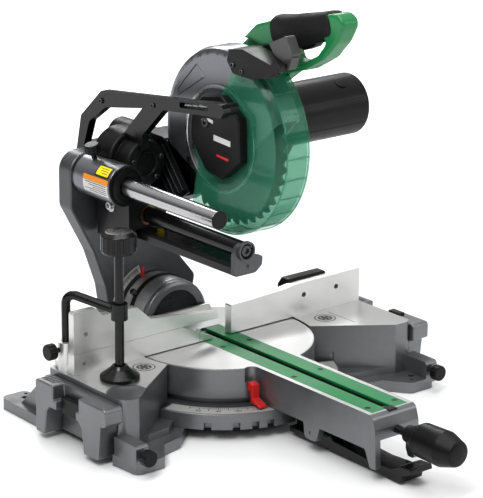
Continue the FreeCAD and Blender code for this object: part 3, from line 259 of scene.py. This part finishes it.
RED = surface("red_enamel", (0.62, 0.012, 0.010), rough=0.32, coat=0.4)
LEVER_GREY = surface("lever_grey", (0.085, 0.082, 0.082), rough=0.34, metal=0.2, grain=0.03, grain_scale=1500)
CAP_DARK = surface("cap_dark", (0.030, 0.031, 0.034), rough=0.28, metal=0.6, grain=0.02, grain_scale=1200)
# flat black for print, scale marks, joints and seams; also painted shade on the kerf screws and the motor
# vent discs
INK_AND_PAINTED_SHADE = surface("black_ink_and_painted_shade", (0.01, 0.01, 0.01), rough=0.5)
WHITE = surface("white_print", (0.80, 0.80, 0.80), rough=0.45)
YELLOW = surface("yellow_label", (0.85, 0.72, 0.01), rough=0.4)
ORANGE = surface("orange_label", (0.75, 0.28, 0.02), rough=0.4)
BRONZE = surface("bronze", (0.35, 0.22, 0.10), rough=0.45, metal=0.9)
COPPER = surface("copper", (0.50, 0.22, 0.10), rough=0.4, metal=0.9)
CLEAR_GREEN = clear_plastic("clear_green", (0.80, 0.92, 0.86), (0.07, 0.36, 0.24), share=0.90)
CLEAR = clear_plastic("clear_plastic", (0.93, 0.95, 0.94), (0.8, 0.82, 0.82), share=0.85)

# ------------------------------------------------------------------ mesh helpers

# index of the outline's two directions and of the extrusion, for each extrusion axis
AXES = {"x": (1, 2, 0), "y": (0, 2, 1), "z": (0, 1, 2)}
SHARP_ANGLE = math.radians(35)
BEVEL_ANGLE = math.radians(32)


def finish_mesh(name, body, material, mesh_data, bevel=0.0):
    """Object from a bmesh, shaded smooth with sharp edges kept, riding on a body."""
    bmesh.ops.recalc_face_normals(mesh_data, faces=mesh_data.faces)
    data = bpy.data.meshes.new(name)
    mesh_data.to_mesh(data)
    mesh_data.free()
    data.materials.append(material)
    obj = bpy.data.objects.new(name, data)
    bpy.context.scene.collection.objects.link(obj)
    if bevel:
        add_bevel(obj, bevel)
    for polygon in data.polygons:
        polygon.use_smooth = True
    data.set_sharp_from_angle(angle=SHARP_ANGLE)
    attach(obj, body)
    return obj


def add_bevel(obj, width):
    bevel = obj.modifiers.new("edge_bevel", "BEVEL")
    bevel.width = width * MM
    bevel.segments = 2
    bevel.limit_method = "ANGLE"
    bevel.angle_limit = BEVEL_ANGLE
    bevel.harden_normals = True
    weighted = obj.modifiers.new("weighted_normals", "WEIGHTED_NORMAL")
    weighted.keep_sharp = True


def prism(name, body, material, axis, outline, low, high, bevel=0.0):
    """Outline across an axis (millimetres) extruded between two levels."""
    first, second, along = AXES[axis]
    made = bmesh.new()
    loops = []
    for level in (low, high):
        loop = []
        for u, v in outline:
            spot = [0.0, 0.0, 0.0]
            spot[first], spot[second], spot[along] = u * MM, v * MM, level * MM
            loop.append(made.verts.new(spot))
        loops.append(loop)
    count = len(outline)
    made.faces.new(loops[0])
    made.faces.new(loops[1])
    for i in range(count):
        j = (i + 1) % count
        made.faces.new((loops[0][i], loops[0][j], loops[1][j], loops[1][i]))
    finish_mesh(name, body, material, made, bevel)


def rect(u_low, v_low, u_high, v_high):
    """Rectangular outline."""
    return [(u_low, v_low), (u_high, v_low), (u_high, v_high), (u_low, v_high)]


def disc(radius, low, high):
    """Lathe profile of a plain disc."""
    return [(0, low), (radius, low), (radius, high), (0, high)]


def band(inner, outer, low, high):
    """Lathe profile of a flat ring."""
    return [(inner, low), (outer, low), (outer, high), (inner, high)]


def arc(centre, radius, angles):
    """Outline points round a centre, at angles in degrees."""
    points = []
    for angle in angles:
        turn = math.radians(angle)
        points.append((centre[0] + radius * math.cos(turn), centre[1] + radius * math.sin(turn)))
    return points


def frame_of(origin, direction):
    """Matrix that stands local Z on a direction at an origin in millimetres."""
    turn = Vector((0, 0, 1)).rotation_difference(Vector(direction).normalized())
    return Matrix.Translation(Vector(origin) * MM) @ turn.to_matrix().to_4x4()


def lathe(name, body, material, origin, direction, profile, steps=48):
    """Closed body of revolution; the profile is (radius, height) in millimetres."""
    made = bmesh.new()
    place = frame_of(origin, direction)
    rings = []
    for radius, height in profile:
        if radius == 0:
            rings.append([made.verts.new(place @ Vector((0, 0, height * MM)))])
            continue
        ring = []
        for i in range(steps):
            turn = 2 * math.pi * i / steps
            spot = Vector((radius * MM * math.cos(turn), radius * MM * math.sin(turn), height * MM))
            ring.append(made.verts.new(place @ spot))
        rings.append(ring)
    pairs = list(zip(rings, rings[1:]))
    if profile[0][0] and profile[-1][0]:
        pairs.append((rings[-1], rings[0]))
    for low, high in pairs:
        for i in range(steps):
            j = (i + 1) % steps
            corners = [low[i % len(low)], low[j % len(low)], high[j % len(high)], high[i % len(high)]]
            unique = list(dict.fromkeys(corners))
            if len(unique) > 2:
                made.faces.new(unique)
    finish_mesh(name, body, material, made)


def mesh_from_curve(name, curve):
    """Mesh data of a curve or text, with nothing left in the scene."""
    temporary = bpy.data.objects.new(name, curve)
    bpy.context.scene.collection.objects.link(temporary)
    data = bpy.data.meshes.new_from_object(temporary)
    bpy.data.objects.remove(temporary)
    return data


def tube(name, body, material, points, radius, closed=False):
    """Round bar along points in millimetres."""
    curve = bpy.data.curves.new(name, "CURVE")
    curve.dimensions = "3D"
    curve.bevel_depth = radius * MM
    curve.bevel_resolution = 4
    curve.use_fill_caps = True
    spline = curve.splines.new("POLY")
    spline.points.add(len(points) - 1)
    for spot, point in zip(spline.points, points):
        spot.co = (*(Vector(point) * MM), 1.0)
    spline.use_cyclic_u = closed
    made = bmesh.new()
    made.from_mesh(mesh_from_curve(name, curve))
    finish_mesh(name, body, material, made)


def number(name, body, material, value, size, place):
    """Scale number as a thin solid; place is its matrix in metres."""
    curve = bpy.data.curves.new(name, "FONT")
    curve.body = value
    curve.size = size * MM
    curve.extrude = 0.00004
    curve.align_x = "CENTER"
    curve.align_y = "CENTER"
    data = mesh_from_curve(name, curve)
    data.transform(place)
    made = bmesh.new()
    made.from_mesh(data)
    finish_mesh(name, body, material, made)


def hex_screw(name, body, origin, direction, radius, height, material=DARK_STEEL):
    """Socket head screw: turned head with a hexagonal recess."""
    place = frame_of(origin, direction)
    made = bmesh.new()
    steps = 24
    corner = math.pi / 6
    recess_floor = height - 2.2
    rings = []
    for reach, level, hexagonal in ((radius, 0, False), (radius, height - 0.6, False),
                                    (radius - 0.6, height, False), (radius * 0.55, height, True),
                                    (radius * 0.5, recess_floor, True)):
        ring = []
        for i in range(steps):
            angle = 2 * math.pi * i / steps
            local = reach
            if hexagonal:
                wedge = (angle + corner) % (2 * corner) - corner
                local = reach * math.cos(corner) / math.cos(wedge)
            spot = Vector((local * math.cos(angle), local * math.sin(angle), level))
            ring.append(made.verts.new(place @ (spot * MM)))
        rings.append(ring)
    for low, high in zip(rings, rings[1:]):
        for i in range(steps):
            j = (i + 1) % steps
            made.faces.new((low[i], low[j], high[j], high[i]))
    made.faces.new(rings[0])
    made.faces.new(rings[-1])
    finish_mesh(name, body, material, made)


# ------------------------------------------------------------------ finished copies of the CAD pieces

# pieces moulded with large radii: voxel size in millimetres and smoothing rounds
ROUNDED = {"handle_shell": (1.6, 22)}


def soften(obj, voxel, rounds):
    """Rounds a moulded piece all over."""
    remesh = obj.modifiers.new("remesh", "REMESH")
    remesh.mode = "VOXEL"
    remesh.voxel_size = voxel * MM
    remesh.use_smooth_shade = True
    smooth = obj.modifiers.new("round_over", "SMOOTH")
    smooth.factor = 0.5
    smooth.iterations = rounds


def refine(node, body, material, width):
    """Copy of a CAD piece with merged faces and softened edges, shown in place of the piece."""
    made = bmesh.new()
    made.from_mesh(NODES[node].data)
    bmesh.ops.remove_doubles(made, verts=made.verts, dist=2e-6)
    bmesh.ops.dissolve_limit(made, angle_limit=math.radians(0.6), verts=made.verts, edges=made.edges)
    for edge in made.edges:
        edge.smooth = True
    obj = finish_mesh(node + "_finish", body, material, made, 0 if node in ROUNDED else width)
    if node in ROUNDED:
        soften(obj, *ROUNDED[node])
    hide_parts(node)


# body: its pieces, each with a material and the width of its softened edges in millimetres
FINISH = {
    "base": [("base_casting", CAST_MILLED, 1.2), ("carry_grip_left", CAST, 1.4),
             ("carry_grip_right", CAST, 1.4), ("detent_plate", CAST, 0.5),
             ("mitre_scale", SCALE, 0.0), ("fence_left", FENCE, 0.5), ("fence_right", FENCE, 0.5),
             ("fence_rear_cover", BLACK, 1.2)],
    "support_knob_left": [("support_knob_left", BLACK, 0.3)],
    "support_knob_right": [("support_knob_right", BLACK, 0.3)],
    "vise_clamp_knob": [("vise_clamp_knob", BLACK, 0.3)],
    "sliding_fence": [("fence_left_upper", FENCE, 0.5)],
    "turntable": [("turntable", CAST_MILLED, 1.0), ("kerf_plate_left", KERF_GREEN, 0.3),
                  # the kerf screws are coloured flat black as painted shade of their recesses
                  ("kerf_plate_right", KERF_GREEN, 0.3), ("kerf_screws", INK_AND_PAINTED_SHADE, 0.3),
                  ("mitre_pointer", RED, 0.4), ("pivot_bolt", STEEL, 0.5), ("bevel_cap", CAST, 0.4),
                  ("bevel_shaft", STEEL, 0.5)],
    "mitre_handle": [("mitre_lock_knob", BLACK, 1.0), ("mitre_lock_rod", BLACK_PAINT, 0.0)],
    "detent_lever": [("detent_lever", BLACK_PAINT, 0.8)],
    "tilting_column": [("column", COLUMN, 2.0), ("upper_slide_pipe", CHROME, 0.3),
                       ("lower_slide_pipe", BLACK_PAINT, 0.3), ("pipe_cap", BLACK, 0.3),
                       ("rail_beam", BLACK_PAINT, 0.8), ("rail_bracket", COLUMN, 0.8)],
    "bevel_lever": [("bevel_lever", BLACK, 1.2)],
    "carriage": [("carriage", DARK_CAST, 1.2), ("slide_bushes", BRONZE, 0.0),
                 ("spring_drum", BLACK, 1.0), ("carry_frame", BLACK_PAINT, 1.4),
                 ("frame_roller", BLACK, 0.5), ("hinge_shaft", STEEL, 0.5)],
    "slide_lock_knob": [("slide_lock_knob", BLACK, 0.3)],
    "saw_head": [("gear_case", DARK_CAST, 1.4), ("blade_cover", COVER, 0.6), ("spindle_cover", BLACK, 0.8),
                 ("guard_bracket", BLACK, 0.8), ("handle_shell", GREEN, 3.0), ("motor_housing", BLACK, 0.8),
                 ("motor_stator", COPPER, 0.0), ("ball_bearings", STEEL, 0.0), ("dust_duct", BLACK, 0.8),
                 ("dust_port", BLACK, 0.5)],
    "arbor": [("saw_blade", BLADE, 0.0), ("blade_flanges", DARK_STEEL, 0.3), ("spindle", STEEL, 0.3),
              ("driven_gear", DARK_STEEL, 0.0)],
    "armature": [("armature", COPPER, 0.0), ("cooling_fan", BLACK, 0.0)],
    "trigger": [("trigger", BLACK, 0.8)],
    "guard_lever": [("guard_lever", LEVER_GREY, 2.0)],
    "lower_guard": [("lower_guard", CLEAR_GREEN, 0.4)],
    "vise_arm": [("vise_arm", BLACK_PAINT, 0.3)],
    "vise_foot": [("vise_foot", BLACK_PAINT, 0.4)],
    "vise_screw": [("vise_screw", BLACK_PAINT, 0.4)],
}
for body, pieces in FINISH.items():
    for node, material, width in pieces:
        refine(node, body, material, width)

# ------------------------------------------------------------------ mitre scale


def on_table_plane(angle, radius, height):
    """Matrix that lays a mark on the mitre scale, its foot towards the turntable axis."""
    turn = math.radians(angle)
    spot = Vector((radius * math.sin(turn), -radius * math.cos(turn), height)) * MM
    return Matrix.Translation(spot) @ Matrix.Rotation(turn, 4, "Z")


marks = bmesh.new()
for degree in range(-55, 56):
    length, width = (7.5, 0.9) if degree % 5 == 0 else (4.5, 0.5)
    place = on_table_plane(degree, 129.5, SCALE_LEVEL)
    corners = [place @ (Vector((x * width / 2, -y, 0)) * MM) for x, y in rect(-1, 0, 1, length)]
    marks.faces.new([marks.verts.new(corner) for corner in corners])
finish_mesh("mitre_scale_marks", "base", INK_AND_PAINTED_SHADE, marks)
for degree in range(-50, 51, 10):
    number(f"mitre_number_{degree + 50}", "base", INK_AND_PAINTED_SHADE, str(abs(degree)), 7.0,
           on_table_plane(degree, 141.0, SCALE_LEVEL + 0.03))
red_marks = bmesh.new()
for degree in (-31.6, -22.5, -15, 15, 22.5, 31.6, 45, -45):
    place = on_table_plane(degree, 137.4, SCALE_LEVEL + 0.02)
    corners = [place @ (Vector(spot) * MM) for spot in ((0, 0, 0), (1.6, -3.4, 0), (-1.6, -3.4, 0))]
    red_marks.faces.new([red_marks.verts.new(corner) for corner in corners])
finish_mesh("mitre_detent_marks", "base", RED, red_marks)

# ------------------------------------------------------------------ table emblems, end plug and base trim

for tag, x, y in (("left", -141.5, -27.4), ("right", 149.7, -26.1)):
    upwards = (x, y, TABLE), (0, 0, 1)
    lathe(f"table_badge_{tag}", "base", DARK_STEEL, *upwards, disc(14, 0.02, 0.08))
    lathe(f"table_badge_ring_{tag}", "base", SCALE, *upwards, band(9.5, 12.5, 0.06, 0.16))
    for index, (dot_x, dot_y) in enumerate(arc((x, y), 6, range(0, 360, 60))):
        lathe(f"table_badge_dot_{tag}_{index}", "base", SCALE, (dot_x, dot_y, TABLE), (0, 0, 1),
              disc(1.3, 0.06, 0.16), 12)
for tag, side in (("left", -1), ("right", 1)):
    near, far = sorted((side * 240.4, side * 250))
    # black block in the grip pocket: painted shade in the hand hollow
    prism(f"grip_pocket_painted_shade_{tag}", "base", BLACK, "x", rect(-45, 41, -7, 62), near, far, 1.5)
    for index in range(5):
        y = 8 + 5 * index
        prism(f"grip_rib_{tag}_{index}", "base", CAST, "y", [
            (side * 236, 73.6), (side * 252, 73.6), (side * 250, 75.0), (side * 238, 75.0)], y, y + 2.2, 0.4)
prism("grip_clip_right", "base", BLACK, "z", rect(240, -68, 250, -47), 73.6, 77.8, 1.2)
prism("table_joint_line", "base", INK_AND_PAINTED_SHADE, "z", rect(168.4, -62, 169.2, -10), 79.9, 80.05)
prism("arm_end_plug", "turntable", BLACK, "z", rect(-7, -317, 7, -306), 76, 80.4, 0.8)

# ------------------------------------------------------------------ slide rails and carriage trim

lathe("sleeve_seal", "carriage", BLACK, (SLEEVE_X, 62, SLEEVE_Z), (0, -1, 0), [
    (11.6, 0), (22, 0), (22, 3.2), (20, 4.5), (13, 4.5), (11.6, 3)])
lathe("sleeve_shell", "carriage", COVER, (SLEEVE_X, 63.5, SLEEVE_Z), (0, 1, 0), [
    (25.3, 0), (25.75, 0.6), (25.75, 73), (25.3, 73.6)], 96)
lathe("sleeve_rear_seal", "carriage", BLACK, (SLEEVE_X, 140, SLEEVE_Z), (0, 1, 0), band(11.6, 22, 0, 1))


def sleeve_label(name, material, first, last, start, end, lift):
    """Thin curved label wrapped on the bearing sleeve; angles in degrees from +X towards +Z."""
    made = bmesh.new()
    steps = 16
    angles = [first + (last - first) * i / steps for i in range(steps + 1)]
    rows = []
    for radius in (25.7, 25.8 + lift):
        for y in (start, end):
            rows.append([made.verts.new(Vector((x, y, z)) * MM)
                         for x, z in arc((SLEEVE_X, SLEEVE_Z), radius, angles)])
    low_a, low_b, high_a, high_b = rows
    for i in range(steps):
        for a, b in ((low_a, low_b), (high_a, high_b), (low_a, high_a), (low_b, high_b)):
            made.faces.new((a[i], a[i + 1], b[i + 1], b[i]))
    for i in (0, steps):
        made.faces.new((low_a[i], low_b[i], high_b[i], high_a[i]))
    finish_mesh(name, "carriage", material, made)


sleeve_label("label_yellow_border", INK_AND_PAINTED_SHADE, 118, 154, 68, 96, 0.15)
sleeve_label("label_yellow", YELLOW, 122, 150, 70, 94, 0.25)
sleeve_label("label_orange", ORANGE, 158, 172, 66, 116, 0.2)
sleeve_label("label_grey", SCALE, 173, 208, 66, 116, 0.2)
for row in range(5):
    angle = 176 + row * 6
    sleeve_label(f"label_rule_{row}", INK_AND_PAINTED_SHADE, angle, angle + 1.6, 69, 112 - (row % 3) * 8, 0.3)
for row in range(3):
    angle = 128 + row * 7
    sleeve_label(f"label_yellow_rule_{row}", INK_AND_PAINTED_SHADE, angle, angle + 1.5, 73, 90 - row * 3, 0.32)
hex_screw("bracket_screw", "tilting_column", (LOWER_PIPE_X, -117.5, LOWER_PIPE_Z), (0, -1, 0), 7.2, 4.0)
hex_screw("bracket_pin", "tilting_column", (-56, -118.8, 214), (0, -1, 0), 2.0, 1.0)
for tag, x in (("left", -34.2), ("right", 77.2)):
    lathe("hinge_cap_" + tag, "carriage", DARK_STEEL, (x, HINGE_Y, HINGE_Z), (math.copysign(1, x), 0, 0), [
        (0, 0), (13, 0), (13, 3), (11, 4.5), (0, 4.5)])
for index, (x, z) in enumerate(arc((DRUM_X, DRUM_Z), 22, range(20, 380, 72))):
    hex_screw(f"drum_screw_{index}", "carriage", (x, 72.2, z), (0, -1, 0), 3.2, 2.6)
prism("carriage_plate_border", "carriage", INK_AND_PAINTED_SHADE, "x", rect(112, 262, 128, 276), -34.5, -34.1)
hex_screw("frame_screw_rear", "carriage", (-72.1, 150, 365), (-1, 0, 0), 3.6, 2.4)
hex_screw("frame_screw_front", "carriage", (-72.1, 44, 380), (-1, 0, 0), 3.2, 2.0)
hex_screw("cheek_bolt", "carriage", CHEEK_BOLT, (-1, 0, 0), 5.4, 5.0, STEEL)
lathe("cheek_washer", "carriage", STEEL, CHEEK_BOLT, (-1, 0, 0), disc(8.5, 0, 1.2), 32)
coil = []
COIL_STEPS = 170
for step in range(COIL_STEPS + 1):
    turn, share = 0.8 * step, step / COIL_STEPS
    coil.append((-66.5 + 2.6 * math.cos(turn), -14 - 42 * share, 391.6 + 6.4 * share + 2.6 * math.sin(turn)))
tube("frame_slot_spring", "carriage", STEEL, coil, 0.55)
prism("shoe_label_border", "carriage", INK_AND_PAINTED_SHADE, "y", rect(-49.2, 218.5, -36.2, 231.5), 67.5, 67.9)
prism("shoe_label", "carriage", YELLOW, "y", rect(-48.0, 219.7, -37.4, 230.3), 67.3, 67.6)

# ------------------------------------------------------------------ column trim

for index, (x, z) in enumerate(((-108, 300), (-112, 262), (-92, 258))):
    hex_screw(f"column_screw_{index}", "tilting_column", (x, COLUMN_FACE + 0.1, z), (0, -1, 0), 4.0, 3.0)
bevel_marks = bmesh.new()
for degree in range(50):
    angle = 112 + degree
    turn = math.radians(angle)
    inner, outer = (56.0, 63.0) if degree % 5 == 0 else (58.5, 63.0)
    side = Vector((-math.sin(turn), 0, math.cos(turn))) * 0.22
    mark = arc(BARREL_AXIS, inner, [angle]) + arc(BARREL_AXIS, outer, [angle])
    ends = [Vector((x, COLUMN_FACE - 0.4, z)) for x, z in mark]
    corners = [ends[0] - side, ends[0] + side, ends[1] + side, ends[1] - side]
    bevel_marks.faces.new([bevel_marks.verts.new(corner * MM) for corner in corners])
finish_mesh("bevel_scale_marks", "tilting_column", INK_AND_PAINTED_SHADE, bevel_marks)
scale_outline = arc(BARREL_AXIS, 54, range(108, 167, 2)) + arc(BARREL_AXIS, 65, range(166, 107, -2))
prism("bevel_scale_plate", "tilting_column", SCALE, "y", scale_outline,
      COLUMN_FACE - 0.32, COLUMN_FACE - 0.05)
lathe("bevel_cap_dish", "turntable", CAP_DARK, (BARREL_X, 92, BARREL_Z), (0, -1, 0), [
    (0, 5.4), (12, 5.2), (26, 2.4), (36, 0.4), (42.5, -0.6), (42.5, -1.8), (0, -1.8)], 96)
prism("bevel_pointer", "turntable", RED, "y", [(-22, 129), (-17, 129), (-16.5, 140), (-20, 142)], 136, 138)
hex_screw("bevel_stop_screw", "turntable", (-39, 125, 112), (-0.8, 0, 0.6), 4.0, 8.0)
lathe("barrel_band", "turntable", BLACK, pivot("bevel_tilt"), (0, 1, 0), band(49.8, 51.2, 0, 6), 96)

# ------------------------------------------------------------------ head trim

for index in range(14):
    start = 116 + index * 13
    end = start + 0.8
    rib = arc(BLADE_AXIS, 117.6, (start, end)) + arc(BLADE_AXIS, 119, (end, start))
    prism(f"guard_rib_{index}", "lower_guard", CLEAR_GREEN, "x", rib, -8, 24.5)
sweep = [114 + 182 * i / 48 for i in range(49)]
rim = arc(BLADE_AXIS, 118.9, sweep) + arc(BLADE_AXIS, 117.7, reversed(sweep))
prism("guard_rim_near", "lower_guard", CLEAR_GREEN, "x", rim, -10.8, -8.6)
prism("guard_rim_far", "lower_guard", CLEAR_GREEN, "x", rim, 22.8, 25.0)
lathe("cover_ring_polished", "saw_head", STEEL, (-17.4, *BLADE_AXIS), (-1, 0, 0), [
    (62, 0), (67, 0), (66, 0.7), (63, 0.7)], 96)
tube("cover_emboss", "saw_head", COVER, [
    (-15.1, y, z) for y, z in ((31, 426), (17, 412), (66, 381), (68, 389))], 0.8, closed=True)
crescent = arc(BLADE_AXIS, 25, range(58, 112, 3)) + arc(BLADE_AXIS, 29, range(108, 60, -3))
prism("spindle_cover_arc", "saw_head", WHITE, "x", crescent, PRINT_FACE, PRINT_FACE + 0.4)
hex_screw("spindle_cover_screw", "saw_head", (-33.8, -10, 364), (-1, 0, 0), 6.0, 2.2)
hex_screw("cover_screw_upper", "saw_head", (-14.8, 31.9, 323), (-1, 0, 0), 5.2, 3.0)
hex_screw("cover_screw_lower", "saw_head", (-14.8, 43.5, 303), (-1, 0, 0), 5.2, 3.0)
for name, material, outline in (("bar", WHITE, [(-26, 345), (-58, 343), (-58, 350), (-26, 352)]),
                                ("line", RED, [(-32, 326), (-54, 324.5), (-54, 327.5), (-32, 329)])):
    prism("cover_badge_" + name, "saw_head", material, "x", outline, PRINT_FACE, PRINT_FACE + 0.4)
FIN_ALONG, FIN_ACROSS = Vector((0.65, 0.76)), Vector((0.76, -0.65))
for index in range(7):
    start = Vector((46, 262)) + FIN_ACROSS * (5 + 9.5 * index) + FIN_ALONG * (4 + index)
    end = start + FIN_ALONG * max(10, 66 - index * 5)
    end.x = min(end.x, 138)
    side = FIN_ACROSS * 1.1
    prism(f"duct_fin_{index}", "saw_head", CAP_DARK, "x", [
        tuple(start - side), tuple(start + side), tuple(end + side), tuple(end - side)], -20.6, -17.4, 0.4)

# handle grip: soft black overmould on the top bar; y, z, half height and half width of each section
GRIP_PATH = [(-68, 477.5, 16.5, 14.2), (-73, 479, 19.4, 16.4), (-98, 481.7, 20.8, 17.2),
             (-116, 487, 19.8, 17.0), (-132, 491.6, 18.6, 16.6), (-148, 496.5, 17.4, 16.4),
             (-162, 501, 16.6, 16.6), (-169, 503, 15.8, 16.2), (-172.5, 504, 13.0, 14.4)]
GRIP_STEPS = 32
GRIP_SQUARENESS = 0.68       # 1 is an ellipse, lower is nearer to a rectangle
grip = bmesh.new()
grip_rings = []
for index, (y, z, tall, wide) in enumerate(GRIP_PATH):
    before, after = GRIP_PATH[max(0, index - 1)], GRIP_PATH[min(len(GRIP_PATH) - 1, index + 1)]
    along = Vector((0, after[0] - before[0], after[1] - before[1])).normalized()
    up = Vector((1, 0, 0)).cross(along)
    up = up if up.z > 0 else -up
    ring = []
    for i in range(GRIP_STEPS):
        angle = 2 * math.pi * i / GRIP_STEPS
        across, rise = math.cos(angle), math.sin(angle)
        x = wide * math.copysign(abs(across) ** GRIP_SQUARENESS, across)
        lift = tall * math.copysign(abs(rise) ** GRIP_SQUARENESS, rise)
        ring.append(grip.verts.new((Vector((HANDLE_X + x, y, z)) + up * lift) * MM))
    grip_rings.append(ring)
for low, high in zip(grip_rings, grip_rings[1:]):
    for i in range(GRIP_STEPS):
        j = (i + 1) % GRIP_STEPS
        grip.faces.new((low[i], low[j], high[j], high[i]))
grip.faces.new(grip_rings[0])
grip.faces.new(grip_rings[-1])
finish_mesh("handle_grip_rubber", "saw_head", RUBBER, grip)

# motor trim
for side in (-1, 1):
    spot = (193, MOTOR_Y - side * 19.6, MOTOR_Z + side * 34.0)
    lathe(f"brush_cap_{side + 1}", "saw_head", BLACK, spot, (0, -side * 0.5, side * 0.866), [
        (0, 0), (8, 0), (8, 1.0), (7, 1.4), (0, 1.4)])
for name, z in (("motor_seam", MOTOR_Z + 17.6), ("motor_seam_low", MOTOR_Z - 17.6)):
    tube(name, "saw_head", INK_AND_PAINTED_SHADE, [(80, MOTOR_Y - 35.3, z), (222, MOTOR_Y - 35.3, z)], 0.5)
# thin flat black discs on the motor end stand for the vent holes: painted shade of the openings
for index, (y, z) in enumerate(arc((MOTOR_Y, MOTOR_Z), 24, range(0, 360, 36))):
    lathe(f"motor_vent_painted_shade_{index}", "saw_head", INK_AND_PAINTED_SHADE, (MOTOR_END + 0.02, y, z), (1, 0, 0), disc(4, 0, 0.15), 20)
hex_screw("bracket_cap_screw", "saw_head", (-31.4, -58, 443), (-1, 0, 0), 3.6, 2.0)
hex_screw("bracket_cap_screw_front", "saw_head", (-31.4, -75, 438), (-1, 0, 0), 3.0, 2.0)

# fence trim
lathe("left_fence_stop", "base", CLEAR, (-34, 3, TABLE + 1.5), (0, 0, 1), disc(4, 0, 15), 4)
for name, x in (("a", 136), ("b", 191)):
    lathe("fence_hole_rim_" + name, "base", DARK_STEEL, (x, 6, 107.5), (0, -1, 0), disc(3.15, 0, 0.3), 32)

# ------------------------------------------------------------------ floor, light and camera

floor_mesh = bpy.data.meshes.new("floor")
floor_mesh.from_pydata([(x, y, -0.0006) for x, y in rect(-8, -8, 8, 8)], [], [(0, 1, 2, 3)])
floor_material = surface("floor_white", (0.90, 0.90, 0.90), rough=0.55, mottling=0.0, dust=0.0, grain=0.0)
floor_mesh.materials.append(floor_material)
# the floor brightens to plain white away from the saw
floor_tree = floor_material.node_tree
floor_place = floor_tree.nodes.new("ShaderNodeTexCoord")
floor_reach = floor_tree.nodes.new("ShaderNodeVectorMath")
floor_reach.operation = "LENGTH"
floor_shader = floor_tree.nodes["Principled BSDF"]
floor_shader.inputs["Emission Color"].default_value = (1.0, 1.0, 1.0, 1.0)
link(floor_tree, floor_place.outputs["Object"], floor_reach.inputs[0])
link(floor_tree, remap(floor_tree, floor_reach.outputs["Value"], 0.7, 2.6, 0.0, 0.85, smooth=True),
     floor_shader.inputs["Emission Strength"])
floor = bpy.data.objects.new("floor", floor_mesh)
bpy.context.scene.collection.objects.link(floor)

world = bpy.data.worlds.new("studio")
bpy.context.scene.world = world
world.use_nodes = True
sky = world.node_tree
background = sky.nodes["Background"]
background.inputs["Color"].default_value = (1.0, 1.0, 1.0, 1.0)
# light and reflections follow a gradient up the sky; the backdrop itself is seen as plain white
heading = sky.nodes.new("ShaderNodeTexCoord")
ray = sky.nodes.new("ShaderNodeLightPath")
glow = remap(sky, split_height(sky, heading.outputs["Generated"]), 0.0, 0.9, 0.06, 0.95, smooth=True)
link(sky, calculate(sky, "MAXIMUM", glow, ray.outputs["Is Camera Ray"]), background.inputs["Strength"])


def area_light(name, location, target, size, power):
    light = bpy.data.lights.new(name, "AREA")
    light.shape = "RECTANGLE"
    light.size, light.size_y = size
    light.energy = power
    obj = bpy.data.objects.new(name, light)
    obj.location = location
    obj.rotation_euler = (Vector(target) - Vector(location)).to_track_quat("-Z", "Y").to_euler()
    bpy.context.scene.collection.objects.link(obj)


area_light("key_light", (-1.3, -0.7, 1.9), (0, 0, 0.2), (0.9, 0.9), 26)
area_light("fill_light", (1.6, -1.8, 1.1), (0, 0, 0.2), (1.2, 0.9), 9)
area_light("rim_light", (0.9, 1.5, 1.4), (0, 0, 0.3), (1.2, 0.5), 16)
area_light("top_light", (0, 0, 2.3), (0, 0, 0), (1.6, 0.8), 14)

SENSOR = 36.0                # mm across the image's longer side
FOCAL_SHARE = 4.87952        # focal length over the sensor's size
camera_data = bpy.data.cameras.new("camera")
camera_data.sensor_width = SENSOR
camera_data.sensor_fit = "AUTO"
camera_data.lens = SENSOR * FOCAL_SHARE
camera_data.clip_end = 50
camera = bpy.data.objects.new("camera", camera_data)
camera_turn = Euler([math.radians(angle) for angle in (72.54954, -0.41021, -39.29105)])
camera.matrix_world = Matrix.LocRotScale(Vector((-1.80005, -2.22872, 1.09574)), camera_turn, None)
bpy.context.scene.collection.objects.link(camera)
bpy.context.scene.camera = camera
bpy.context.scene.view_settings.view_transform = "Standard"
bpy.context.scene.view_settings.gamma = 0.86
